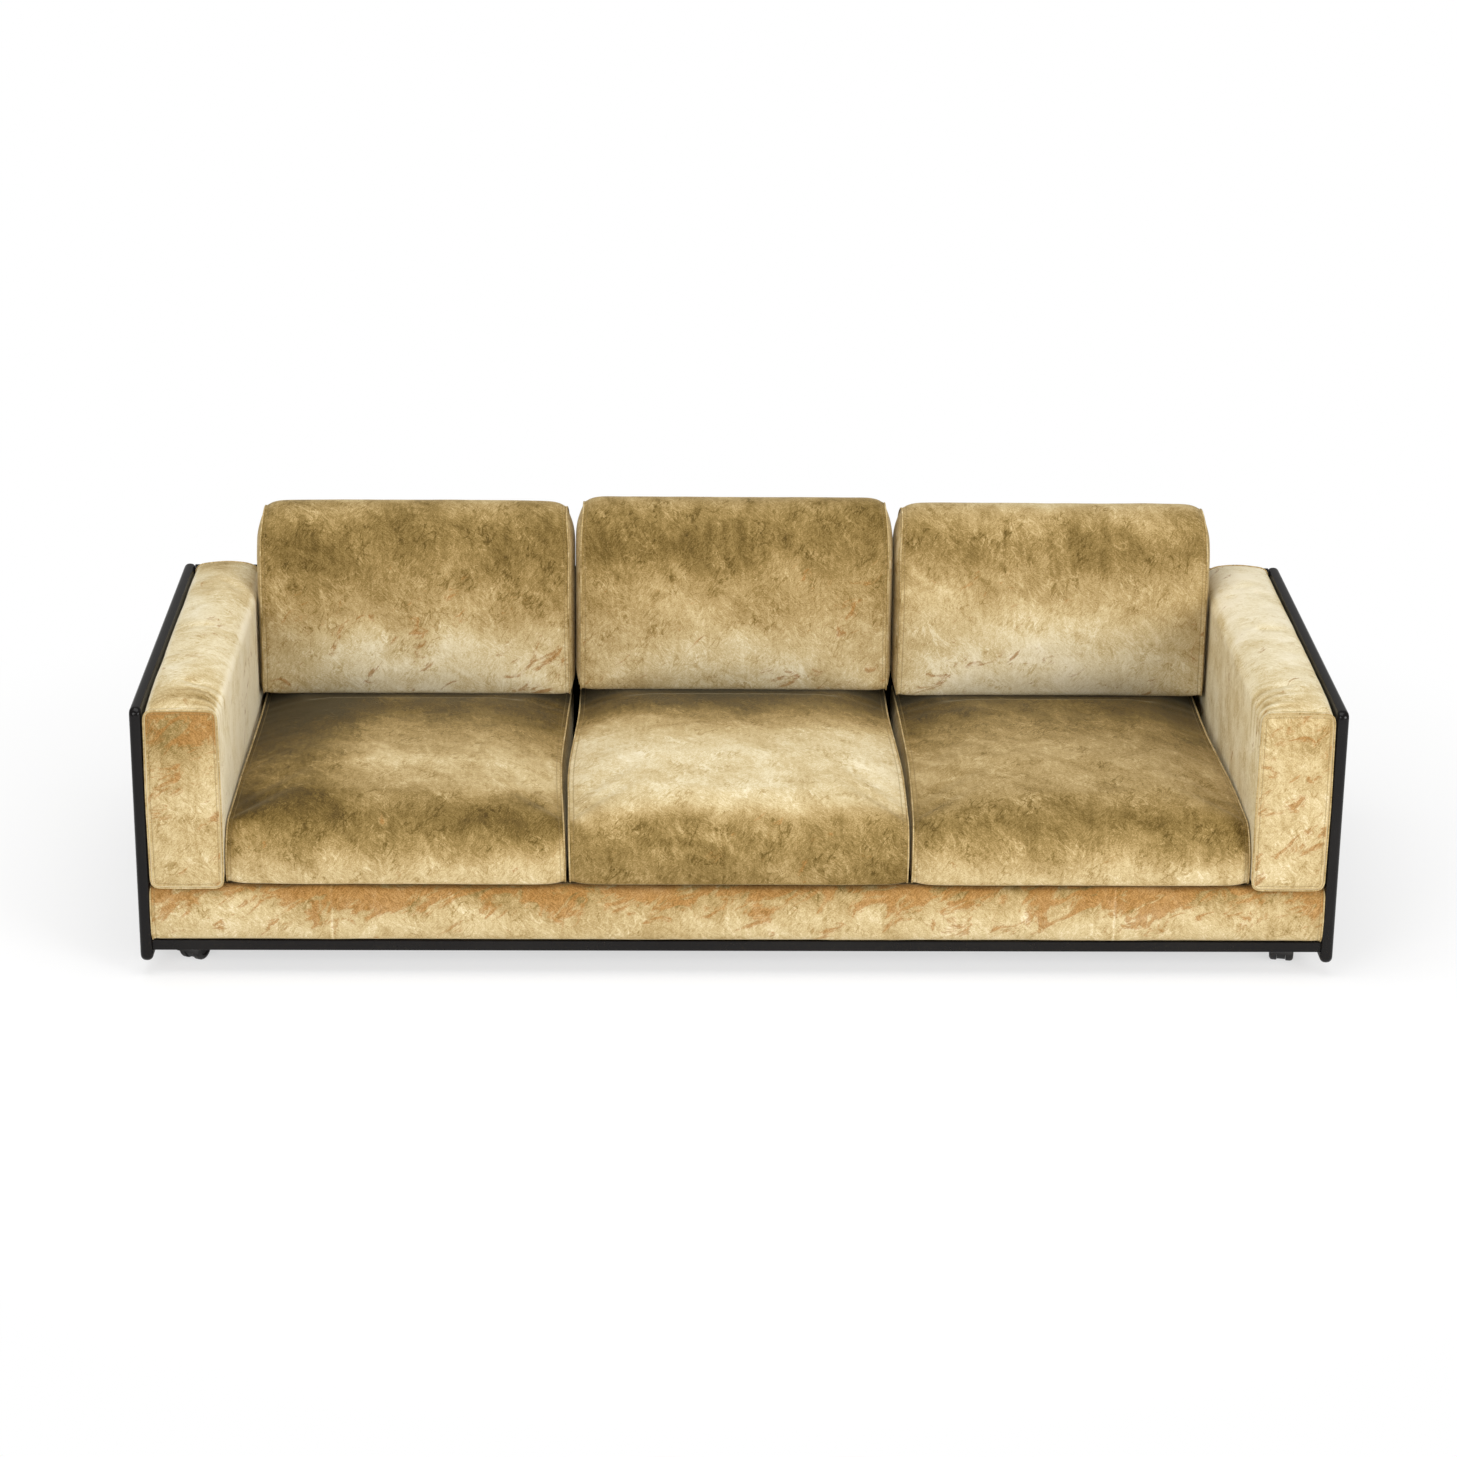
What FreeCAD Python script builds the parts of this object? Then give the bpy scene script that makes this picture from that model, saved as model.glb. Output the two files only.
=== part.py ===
import FreeCAD
import Part
import math
import os

# Three-seater lounge sofa: lacquered side and back panels round a webbed platform on twin-wheel castors,
# with loose velvet seat, back and arm cushions.
# Millimetres, +X to the right, +Y to the rear, +Z up, origin on the floor under the middle of the sofa.

# Overall sizes
overall_width = 2300.0          # across the outer faces of the side panels
overall_depth = 900.0           # front edge to rear edge of the side panels
panel_top = 549.0               # top edge of the panels above the floor
panel_floor_gap = 30.0          # floor to the lower edge of the side panels
rounding_limit = 0.48           # largest share of a side or a thickness that a rounding may take

# Lacquered panels
panel_thickness = 24.0
panel_corner = 15.0             # corner radius of a side panel, seen from the side
panel_nose = 10.5               # rounding of the panel edges
back_panel_inset = 8.0          # rear face of the back panel inside the side panels' rear edges

# Castors
wheel_diameter = 50.0
wheel_width = 15.0
wheel_edge = 7.0                # rounding of the wheel's outer rim
wheel_inner_edge = 1.5          # rounding of its rim beside the web
wheel_dish = 3.0                # depth of the dish in the wheel's outer face
wheel_dish_rim = 9.0            # width of the rim round the dish
wheel_side_gap = 0.5            # wheel to the web between the wheels
rim_match = 0.01                # an edge this near a plane lies in it
wheel_bore_gap = 0.05           # axle to its bore in a wheel
hood_gap = 1.5                  # wheel rim to the inside of the hood
hood_wall = 1.5
hood_web = 16.0                 # thickness of the web between the wheels
hood_hub = 22.5                 # radius of the web round the axle
hood_boss = 10.0                # radius of the boss that takes the swivel pin
hood_skirt = 4.0                # lower edges of the hood below the axle
hood_top_gap = 0.4              # hood to the plate above it
axle_radius = 3.0
axle_gap = 0.02                 # axle to its bore in the web
axle_engagement = 9.0           # length of axle in each wheel
swivel_pin_radius = 4.0
swivel_pin_length = 22.0
swivel_gap = 0.05               # swivel pin to its bore in the hood
castor_trail = 16.0             # swivel axis to axle
castor_height = 57.0            # floor to the top of the castor plate
plate_size = 46.0
plate_thickness = 2.5
plate_screw_edge = 6.0          # screw centres from the edges of the plate
castor_turn = {                 # where each castor happens to point, in degrees
    "front_left": -26.0,
    "front_right": -11.0,
    "rear_left": 18.0,
    "rear_right": 34.0,
}

# Platform
platform_height = 120.0         # height of the timber rails
rail_thickness = 20.0
cross_rail_drop = 34.0          # cross rails below the webbing, so that it can give
castor_block_width = 86.0
castor_block_depth = 54.0
castor_block_height = 40.0
border_setback = 3.0            # front of the upholstered border behind the panels' front edges
border_depth = 30.0             # upholstered border, in front of the timber
border_round = 16.0             # rounding of the border's upper front edge
border_under_round = 7.0        # rounding of the border's lower front edge
border_swell = 4.0              # middle of the border in front of its edges
border_side_gap = 0.5           # border to each side panel
plinth_height = 21.0
plinth_drop = 6.0               # plinth below the timber rails
plinth_setback = 9.0            # plinth behind the front of the border
plinth_edge = 2.0               # eased long edges of the plinth
webbing_width = 50.0
webbing_thickness = 4.0
webbing_pitch = 104.0           # widest spacing of the straps
webbing_bearing = 14.0          # how far a strap lies on each rail
webbing_end_margin = 40.0       # end rail to the nearest strap
deck_thickness = 3.0
deck_side_gap = 4.0             # deck cloth to each side panel
dust_cover_thickness = 1.5
dust_cover_margin = 12.0        # dust cover inside the outer faces of the timber

# Fasteners
bolt_radius = 4.0
bolt_head_radius = 6.5
bolt_head_height = 8.0
bolt_bite = 14.0                # length of bolt in a lacquered panel
bolt_gap = 0.2                  # bolt to its hole
bolt_above_block = 26.0         # bolts above the castor blocks
bolts_per_panel = 3
side_bolt_spacing = 230.0
back_bolt_spacing = 760.0
screw_radius = 2.0
screw_head_radius = 3.9
screw_head_height = 2.2
screw_gap = 0.05                # screw to its hole
plate_screw_length = 18.0
bracket_screw_length = 16.0
plinth_screw_bite = 12.0        # length of screw in the plinth
plinth_screw_count = 5
plinth_screw_margin = 150.0     # last plinth screw to the side panel
bracket_leg = 46.0
bracket_height = 60.0
bracket_thickness = 3.0
bracket_above_deck = 70.0       # lower brackets above the deck
bracket_below_top = 30.0        # upper brackets below the panels' top edges
bracket_screw_edge = 12.0       # screw centres from the upper and lower edges of a bracket
bracket_screw_reach = 30.0      # screw centres from the corner of a bracket

# Cushions in general
rest_gap = 0.3                  # a soft piece above what it rests on
cover_thickness = 2.5
core_gap = 1.2                  # foam core inside its cover, all round
core_rest_gap = 0.4             # foam core above the cover's lower side, where it rests
cushion_gap = 6.0               # between neighbouring seat or back cushions
cushion_rear_gap = 3.0          # seat and back cushions to the back panel
lower_round = 22.0              # rounding of the lower edges of seat and back cushions
end_fullness = 0.15             # share of the crown that is left at the side seams

# How full a cushion is along its length: share of the half length from its middle, and fullness there
even_stations = [(-1.0, 0.0), (-0.86, 0.66), (-0.5, 0.97), (0.0, 1.0), (0.5, 0.97), (0.86, 0.66), (1.0, 0.0)]
arm_stations = [(-1.0, 0.0), (-0.86, 0.66), (-0.5, 0.97), (0.0, 1.0), (0.5, 1.0), (1.0, 0.9)]

# Seat cushions
seat_front_setback = 2.0        # front of the seat cushions behind the panels' front edges
seat_side_height = 116.0        # at the side seams
seat_shoulder_height = 136.0    # middle of the cushion, where the front rolls over
seat_crown_height = 152.0       # middle of the cushion, at its highest
seat_rear_height = 137.0        # middle of the cushion, under the front of the back cushion
seat_rear_fall = 9.0            # top lower at the rear than under the front of the back cushion
seat_crown_setback = 290.0      # crown behind the front of the cushion
seat_shoulder_setback = 42.0    # shoulder behind the front of the cushion
seat_front_tuck = 8.0           # lower front edge behind the front of the cushion
seat_corner_tuck = 8.0          # front of the cushion further back at its corners
seat_front_round = 62.0         # roll of the front edge
seat_nose_round = 70.0          # swell of the front face
seat_top_round = 450.0          # ease of the crown
seat_draw_in = 5.0              # sides pulled in between their corners
middle_seat_extra = 11.0        # the middle seat is plumper

# Back cushions
back_thickness = 166.0          # at the bottom
back_height = 396.0
back_end_drop = 16.0            # top lower at the ends than in the middle
back_swell = 20.0               # middle of the front face in front of its lower edge
back_end_swell = 8.0            # the same at the side seams
back_swell_height = 200.0       # fullest place of the front face above the bottom
back_roll_setback = 26.0        # where the top rolls over, behind the lower front edge
back_roll_drop = 22.0           # where the top rolls over, below the top
back_top_setback = 62.0         # top line in front of the rear face
back_rear_drop = 34.0           # rear seam below the top
back_roll_round = 62.0
back_top_round = 90.0
back_rear_round = 52.0
back_face_round = 420.0
back_draw_in = 4.0              # sides pulled in between their corners

# Arm cushions
arm_width = 136.0
arm_panel_gap = 4.2             # arm cushion to the side panel
arm_seat_gap = 1.0              # arm cushion to the seat cushions' space
arm_front_setback = 5.0
arm_rear_gap = 8.0              # arm cushion to the back panel
arm_top_drop = 5.0              # edges of the arm's top below the panels' top edges, at the front cap
arm_rise = 12.0                 # the same edges higher behind the front cap
arm_crown = 10.0                # middle of the top above its edges
arm_swell = 5.0                 # middle of each side outside its upper and lower edges
arm_cap_round = 20.0            # rounding of the edges at the end caps
arm_roll_round = 44.0           # rounding of the inner upper edge between the caps
arm_side_round = 500.0
arm_top_round = 220.0

# Zips
zip_length = 520.0
zip_above_bottom = 56.0         # zip above the bottom of its cushion
zip_tape_width = 26.0
zip_tape_thickness = 0.8
zip_coil_width = 6.0
zip_coil_thickness = 0.9
zip_slider_length = 14.0
zip_slider_width = 9.0

# Places that follow from the sizes
sides = {"left": -1, "right": 1}
seat_names = ["left", "middle", "right"]
front = -overall_depth / 2
rear = overall_depth / 2
panel_inner = overall_width / 2 - panel_thickness
back_panel_front = rear - back_panel_inset - panel_thickness
frame_bottom = castor_height
frame_top = frame_bottom + platform_height
border_front = front + border_setback
timber_front = border_front + border_depth
front_rail_inner = timber_front + rail_thickness
rear_rail_inner = back_panel_front - rail_thickness
end_rail_inner = panel_inner - rail_thickness
plinth_bottom = frame_bottom - plinth_drop
plinth_top = plinth_bottom + plinth_height
webbing_front = front_rail_inner - webbing_bearing
webbing_rear = rear_rail_inner + webbing_bearing
webbing_top = frame_top + webbing_thickness
deck_top = webbing_top + deck_thickness
cushion_bottom = deck_top + rest_gap
bolt_level = frame_bottom + castor_block_height + bolt_above_block
bracket_levels = [deck_top + bracket_above_deck, panel_top - bracket_below_top - bracket_height]
wheel_radius = wheel_diameter / 2
axle_height = wheel_radius
plate_bottom = castor_height - plate_thickness
arm_outer = panel_inner - arm_panel_gap
arm_inner = arm_outer - arm_width
arm_front = front + arm_front_setback
arm_rear = back_panel_front - arm_rear_gap
seat_pitch = 2 * (arm_inner - arm_seat_gap) / len(seat_names)
seat_width = seat_pitch - cushion_gap
seat_front = front + seat_front_setback
cushion_rear = back_panel_front - cushion_rear_gap
back_front = cushion_rear - back_thickness


def point(x, y, z):
    return FreeCAD.Vector(x, y, z)


def box(x0, x1, y0, y1, z0, z1):
    """A block between two corners."""
    return Part.makeBox(x1 - x0, y1 - y0, z1 - z0, point(x0, y0, z0))


def rod(radius, start, direction, length):
    """A cylinder from a place along a direction."""
    return Part.makeCylinder(radius, length, point(*start), point(*direction))


def cut_all(shape, tools):
    """The shape without any of the tools."""
    for tool in tools:
        shape = shape.cut(tool)
    return shape


def outward(sign, a, b):
    """Two distances from the middle plane as an ordered span on the side of the sign."""
    return sorted((sign * a, sign * b))


def rounded_outline(corners, radii, place):
    """A closed wire round the (u, v) corners, each rounded as far as its two sides allow."""
    vectors = [point(u, v, 0) for u, v in corners]
    edges = []
    arcs = []
    for i, here in enumerate(vectors):
        before = vectors[i - 1] - here
        after = vectors[(i + 1) % len(vectors)] - here
        room = rounding_limit * min(before.Length, after.Length)
        before.normalize()
        after.normalize()
        half_angle = before.getAngle(after) / 2
        radius = min(radii[i], room * math.tan(half_angle))
        reach = radius / math.tan(half_angle)
        bisector = (before + after).normalize()
        middle = here + bisector * (radius / math.sin(half_angle) - radius)
        arcs.append([place(p.x, p.y) for p in (here + before * reach, middle, here + after * reach)])
    for i, arc in enumerate(arcs):
        following = arcs[(i + 1) % len(arcs)]
        edges.append(Part.Arc(*arc).toShape())
        edges.append(Part.LineSegment(arc[2], following[0]).toShape())
    return Part.Wire(edges)


def inset_outline(corners, radii, inset):
    """An anticlockwise outline drawn in by a distance."""
    lines = []
    for i, (u, v) in enumerate(corners):
        next_u, next_v = corners[(i + 1) % len(corners)]
        length = math.hypot(next_u - u, next_v - v)
        normal_u = (v - next_v) / length
        normal_v = (next_u - u) / length
        lines.append((normal_u, normal_v, normal_u * u + normal_v * v + inset))
    moved = []
    for i, (u2, v2, d2) in enumerate(lines):
        u1, v1, d1 = lines[i - 1]
        spread = u1 * v2 - v1 * u2
        moved.append(((d1 * v2 - d2 * v1) / spread, (u1 * d2 - u2 * d1) / spread))
    return moved, [radius - inset for radius in radii]


def draw_in_ends(body, half, draw_in, span, axis):
    """Pulls in both X ends of a cushion between their corners, with wide drums along an axis."""
    radius = (span ** 2 / 4 + draw_in ** 2) / (2 * draw_in)
    bounds = body.BoundBox
    for sign in sides.values():
        x = sign * (half - draw_in + radius)
        if axis == "z":
            drum = rod(radius, (x, bounds.Center.y, bounds.ZMin), (0, 0, 1), bounds.ZLength)
        else:
            drum = rod(radius, (x, bounds.YMin, bounds.Center.z), (0, 1, 0), bounds.YLength)
        body = body.cut(drum)
    return body


def seat_outline(fullness, extra):
    """Side view (y, z) of a seat cushion, from its side seams (0) to its middle (1)."""
    share = end_fullness + (1 - end_fullness) * fullness

    def level(middle_height):
        return cushion_bottom + seat_side_height + (middle_height + extra - seat_side_height) * share

    nose = seat_front + seat_corner_tuck * (1 - fullness)
    shoulder = level(seat_shoulder_height)
    corners = [
        (nose + seat_front_tuck, cushion_bottom),
        (cushion_rear, cushion_bottom),
        (cushion_rear, level(seat_rear_height - seat_rear_fall)),
        (back_front, level(seat_rear_height)),
        (seat_front + seat_crown_setback, level(seat_crown_height)),
        (nose + seat_shoulder_setback, shoulder),
        (nose, (cushion_bottom + shoulder) / 2),
    ]
    return corners, [lower_round, lower_round, lower_round, seat_top_round, seat_top_round,
                     seat_front_round, seat_nose_round]


def back_outline(fullness, bottom):
    """Side view (y, z) of a back cushion, from its side seams (0) to its middle (1)."""
    top = bottom + back_height - back_end_drop * (1 - fullness)
    swell = back_end_swell + (back_swell - back_end_swell) * fullness
    corners = [
        (back_front, bottom),
        (cushion_rear, bottom - seat_rear_fall),
        (cushion_rear, top - back_rear_drop),
        (cushion_rear - back_top_setback, top),
        (back_front + back_roll_setback, top - back_roll_drop),
        (back_front - swell, bottom + back_swell_height),
    ]
    return corners, [lower_round, lower_round, back_rear_round, back_top_round, back_roll_round,
                     back_face_round]


def arm_outline(fullness):
    """Front view (x, z) of the right arm cushion, from its front cap (0) to its middle (1)."""
    top = panel_top - arm_top_drop + arm_rise * fullness
    half_way = (cushion_bottom + top) / 2
    share = end_fullness + (1 - end_fullness) * fullness
    corners = [
        (arm_inner + arm_swell, cushion_bottom),
        (arm_outer - arm_swell, cushion_bottom),
        (arm_outer, half_way),
        (arm_outer - arm_swell, top),
        ((arm_inner + arm_outer) / 2, top + arm_crown * share),
        (arm_inner + arm_swell, top),
        (arm_inner, half_way),
    ]
    inner_round = arm_cap_round + (arm_roll_round - arm_cap_round) * fullness
    return corners, [arm_cap_round, arm_cap_round, arm_side_round, arm_cap_round, arm_top_round,
                     inner_round, arm_side_round]


def loft_outlines(outline, stations, place, half, inset):
    """A solid through a cushion's outlines from end to end, inset all round."""
    wires = []
    for share, fullness in stations:
        station = share * (half - inset)
        corners, radii = inset_outline(*outline(fullness), inset)
        wires.append(rounded_outline(corners, radii, lambda u, v, at=station: place(at, u, v)))
    return Part.makeLoft(wires, True, False)


def cover_and_core(body):
    """The sewn cover, hollow and closed, and the foam core inside it, from a body that takes an inset."""
    skin = body(0).Shells[0]
    lining = body(cover_thickness).Shells[0].reversed()
    core = body(cover_thickness + core_gap).Solids[0]
    core.translate(point(0, 0, core_rest_gap - core_gap))
    return {
        "cover": Part.makeSolid(Part.makeCompound([skin, lining])),
        "core": core,
    }


def zip_strip(bottom):
    """Tape, coil and slider of a zip on the rear face of a cushion."""
    z = bottom + zip_above_bottom
    start = -zip_length / 2
    end = zip_length / 2
    coil_front = cushion_rear + zip_tape_thickness
    coil_rear = coil_front + zip_coil_thickness
    coil_end = end - zip_slider_length
    tape = box(start, end, cushion_rear, coil_front, z - zip_tape_width / 2, z + zip_tape_width / 2)
    coil = box(start, coil_end, coil_front, coil_rear, z - zip_coil_width / 2, z + zip_coil_width / 2)
    slider = box(coil_end, end, coil_front, coil_rear, z - zip_slider_width / 2, z + zip_slider_width / 2)
    return Part.makeCompound([tape, coil, slider])


def seat_middle(index):
    """Middle of a seat's share of the width."""
    return (index - (len(seat_names) - 1) / 2) * seat_pitch


def seat_cushion(extra):
    """Cover, core and zip of a seat cushion that wraps over its front edge, in the middle of the sofa."""
    half = seat_width / 2

    def outline(fullness):
        return seat_outline(fullness, extra)

    def body(inset):
        loft = loft_outlines(outline, even_stations, point, half, inset)
        return draw_in_ends(loft, half - inset, seat_draw_in, cushion_rear - seat_front, "z")

    return {**cover_and_core(body), "zip": zip_strip(cushion_bottom)}


def back_cushion():
    """Cover, core and zip of a back cushion on a plain seat cushion, in the middle of the sofa."""
    half = seat_width / 2
    bottom = cushion_bottom + seat_rear_height + rest_gap

    def outline(fullness):
        return back_outline(fullness, bottom)

    def body(inset):
        loft = loft_outlines(outline, even_stations, point, half, inset)
        return draw_in_ends(loft, half - inset, back_draw_in, back_height, "y")

    return {**cover_and_core(body), "zip": zip_strip(bottom)}


def arm_cushion():
    """Cover and core of the right arm cushion, between the side panel and the seats."""
    middle = (arm_front + arm_rear) / 2
    half = (arm_rear - arm_front) / 2

    def place(station, u, v):
        return point(u, middle + station, v)

    return cover_and_core(lambda inset: loft_outlines(arm_outline, arm_stations, place, half, inset))


def moved(shape, x, z):
    """A copy of a shape, further right and higher."""
    return shape.translated(point(x, 0, z))


def cushions():
    """All loose cushions, piece by piece."""
    parts = {}
    seats = {extra: seat_cushion(extra) for extra in (0.0, middle_seat_extra)}
    back = back_cushion()
    arm = arm_cushion()
    for index, name in enumerate(seat_names):
        extra = middle_seat_extra if name == "middle" else 0.0
        for kind, shape in seats[extra].items():
            parts[f"seat_{kind}_{name}"] = moved(shape, seat_middle(index), 0)
        for kind, shape in back.items():
            parts[f"back_{kind}_{name}"] = moved(shape, seat_middle(index), extra)
    for kind, shape in arm.items():
        parts[f"arm_{kind}_right"] = shape
        parts[f"arm_{kind}_left"] = shape.mirror(point(0, 0, 0), point(1, 0, 0))
    return parts


def bolt(start, direction):
    """A cap bolt whose head seats on a rail at start and whose shank runs through it into a panel."""
    head = rod(bolt_head_radius, start, [-d for d in direction], bolt_head_height)
    shank = rod(bolt_radius, start, direction, rail_thickness + bolt_bite)
    return head.fuse(shank).removeSplitter()


def bolt_hole(start, direction):
    """The room that a bolt's shank takes."""
    return rod(bolt_radius + bolt_gap, start, direction, rail_thickness + bolt_bite + bolt_gap)


def bolt_places():
    """Seat and direction of each panel bolt."""
    places = []
    for i in range(bolts_per_panel):
        step = i - (bolts_per_panel - 1) / 2
        places.append(((step * back_bolt_spacing, rear_rail_inner, bolt_level), (0, 1, 0)))
        for sign in sides.values():
            places.append(((sign * end_rail_inner, step * side_bolt_spacing, bolt_level), (sign, 0, 0)))
    return places


def screw(start, direction, length, gap=0.0):
    """A countersunk screw, its head flush at start; with a gap, the room that it takes."""
    head = Part.makeCone(screw_head_radius + gap, screw_radius + gap, screw_head_height,
                         point(*start), point(*direction))
    return head.fuse(rod(screw_radius + gap, start, direction, length + gap)).removeSplitter()


def bracket_screw_places():
    """Seat and direction of each screw in the corner brackets."""
    y_face = back_panel_front - bracket_thickness
    y_reach = back_panel_front - bracket_screw_reach
    x_face = panel_inner - bracket_thickness
    x_reach = panel_inner - bracket_screw_reach
    places = []
    for level in bracket_levels:
        for z in (level + bracket_screw_edge, level + bracket_height - bracket_screw_edge):
            for sign in sides.values():
                places.append(((sign * x_reach, y_face, z), (0, 1, 0)))
                places.append(((sign * x_face, y_reach, z), (sign, 0, 0)))
    return places


def plinth_screw_places():
    """Seat and direction of each screw that holds the plinth to the front rail."""
    reach = panel_inner - plinth_screw_margin
    spacing = 2 * reach / (plinth_screw_count - 1)
    z = (frame_bottom + plinth_top) / 2
    return [((i * spacing - reach, front_rail_inner, z), (0, -1, 0)) for i in range(plinth_screw_count)]


def castor_places():
    """Swivel axis of each castor on the plan, in the middle of its block."""
    x = end_rail_inner - castor_block_width / 2
    y_front = front_rail_inner + castor_block_depth / 2
    y_rear = rear_rail_inner - castor_block_depth / 2
    return {
        "front_left": (-x, y_front),
        "front_right": (x, y_front),
        "rear_left": (-x, y_rear),
        "rear_right": (x, y_rear),
    }


def plate_screw_places():
    """Seat and direction of each castor plate screw."""
    offset = plate_size / 2 - plate_screw_edge
    return [((x + i * offset, y + j * offset, plate_bottom), (0, 0, 1))
            for x, y in castor_places().values() for i in (-1, 1) for j in (-1, 1)]


def bracket_screws(gap=0.0):
    return [screw(*place, bracket_screw_length, gap) for place in bracket_screw_places()]


def plinth_screws(gap=0.0):
    return [screw(*place, rail_thickness + plinth_screw_bite, gap) for place in plinth_screw_places()]


def plate_screws(gap=0.0):
    return [screw(*place, plate_screw_length, gap) for place in plate_screw_places()]


def bolt_holes():
    return [bolt_hole(*place) for place in bolt_places()]


def side_panel(sign):
    """A board with rounded corners and nosed edges, bored for its bolts and bracket screws."""
    corners = [(front, panel_floor_gap), (rear, panel_floor_gap), (rear, panel_top), (front, panel_top)]
    outline = rounded_outline(corners, [panel_corner] * 4, lambda u, v: point(sign * panel_inner, u, v))
    board = Part.Face(outline).extrude(point(sign * panel_thickness, 0, 0))
    rims = [edge for edge in board.Edges if edge.BoundBox.XLength < panel_thickness / 2]
    nosed = board.makeFillet(min(panel_nose, rounding_limit * panel_thickness), rims)
    return cut_all(nosed, bolt_holes() + bracket_screws(screw_gap))


def back_panel():
    """The board between the side panels at the rear, nosed along its top edge."""
    board = box(-panel_inner, panel_inner, back_panel_front, back_panel_front + panel_thickness,
                plinth_bottom, panel_top)
    top_edges = [edge for edge in board.Edges
                 if edge.BoundBox.XLength > panel_inner and edge.BoundBox.Center.z > panel_top - 1]
    nosed = board.makeFillet(min(panel_nose, rounding_limit * panel_thickness), top_edges)
    return cut_all(nosed, bolt_holes() + bracket_screws(screw_gap))


def plinth_rail():
    """The lacquered strip under the upholstered border, its two front edges eased."""
    plinth_front = border_front + plinth_setback
    strip = box(-panel_inner, panel_inner, plinth_front, timber_front, plinth_bottom, plinth_top)
    front_edges = [edge for edge in strip.Edges
                   if edge.BoundBox.XLength > panel_inner and edge.BoundBox.Center.y < plinth_front + 1]
    return cut_all(strip.makeFillet(plinth_edge, front_edges), plinth_screws(screw_gap))


def platform_rails():
    """Front, rear, end and cross rails of the platform, with their bolt and screw holes."""
    front_rail = box(-panel_inner, panel_inner, timber_front, front_rail_inner, frame_bottom, frame_top)
    rear_rail = box(-panel_inner, panel_inner, rear_rail_inner, back_panel_front, frame_bottom, frame_top)
    parts = {
        "platform_front_rail": cut_all(front_rail, plinth_screws(screw_gap)),
        "platform_rear_rail": cut_all(rear_rail, bolt_holes()),
    }
    for side, sign in sides.items():
        rail = box(*outward(sign, end_rail_inner, panel_inner), front_rail_inner, rear_rail_inner,
                   frame_bottom, frame_top)
        parts[f"platform_end_rail_{side}"] = cut_all(rail, bolt_holes())
    between_seats = [seat_middle(i + 0.5) for i in range(len(seat_names) - 1)]
    parts["platform_cross_rails"] = Part.makeCompound([
        box(x - rail_thickness / 2, x + rail_thickness / 2, front_rail_inner, rear_rail_inner,
            frame_bottom, frame_top - cross_rail_drop) for x in between_seats])
    return parts


def castor_blocks():
    """Blocks in the corners of the platform that the castor plates screw to."""
    blocks = []
    for x, y in castor_places().values():
        block = box(x - castor_block_width / 2, x + castor_block_width / 2,
                    y - castor_block_depth / 2, y + castor_block_depth / 2,
                    frame_bottom, frame_bottom + castor_block_height)
        blocks.append(cut_all(block, plate_screws(screw_gap)))
    return Part.makeCompound(blocks)


def seat_webbing():
    """Rubber straps from the front rail to the rear rail, evenly spaced."""
    reach = end_rail_inner - webbing_end_margin - webbing_width / 2
    spaces = math.ceil(2 * reach / webbing_pitch)
    middles = [2 * reach * i / spaces - reach for i in range(spaces + 1)]
    return Part.makeCompound([
        box(x - webbing_width / 2, x + webbing_width / 2, webbing_front, webbing_rear,
            frame_top, webbing_top) for x in middles])


def deck_cloth():
    """The cloth stretched over the webbing."""
    half = panel_inner - deck_side_gap
    return box(-half, half, webbing_front, webbing_rear, webbing_top, deck_top)


def front_border():
    """The upholstered border in front of and over the front rail, swelling between its edges."""
    half = panel_inner - border_side_gap
    edge = border_front + border_swell
    diagonal = 1 - math.sqrt(0.5)

    def at(y, z):
        return point(-half, y, z)

    low_start = at(edge + border_under_round, plinth_top)
    low_middle = at(edge + border_under_round * diagonal, plinth_top + border_under_round * diagonal)
    low_end = at(edge, plinth_top + border_under_round)
    high_start = at(edge, deck_top - border_round)
    high_middle = at(edge + border_round * diagonal, deck_top - border_round * diagonal)
    high_end = at(edge + border_round, deck_top)
    swell = at(border_front, (low_end.z + high_start.z) / 2)
    flange = [high_end, at(webbing_front, deck_top), at(webbing_front, frame_top),
              at(timber_front, frame_top), at(timber_front, plinth_top), low_start]
    edges = [
        Part.Arc(low_start, low_middle, low_end).toShape(),
        Part.Arc(low_end, swell, high_start).toShape(),
        Part.Arc(high_start, high_middle, high_end).toShape(),
    ]
    edges += [Part.LineSegment(a, b).toShape() for a, b in zip(flange, flange[1:])]
    return Part.Face(Part.Wire(edges)).extrude(point(2 * half, 0, 0))


def dust_cover():
    """The cloth under the platform, notched round the castor blocks."""
    half = panel_inner - dust_cover_margin
    sheet = box(-half, half, timber_front + dust_cover_margin, back_panel_front - dust_cover_margin,
                frame_bottom - dust_cover_thickness, frame_bottom)
    notches = []
    for sign in sides.values():
        span = outward(sign, end_rail_inner - castor_block_width, panel_inner)
        notches.append(box(*span, front, front_rail_inner + castor_block_depth, 0, frame_top))
        notches.append(box(*span, rear_rail_inner - castor_block_depth, rear, 0, frame_top))
    return cut_all(sheet, notches)


def corner_brackets():
    """Steel angles that tie the back panel to the side panels."""
    brackets = []
    for level in bracket_levels:
        for sign in sides.values():
            back_leg = box(*outward(sign, panel_inner - bracket_leg, panel_inner),
                           back_panel_front - bracket_thickness, back_panel_front,
                           level, level + bracket_height)
            side_leg = box(*outward(sign, panel_inner - bracket_thickness, panel_inner),
                           back_panel_front - bracket_leg, back_panel_front,
                           level, level + bracket_height)
            angle = back_leg.fuse(side_leg).removeSplitter()
            brackets.append(cut_all(angle, bracket_screws(screw_gap)))
    return Part.makeCompound(brackets)


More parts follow.
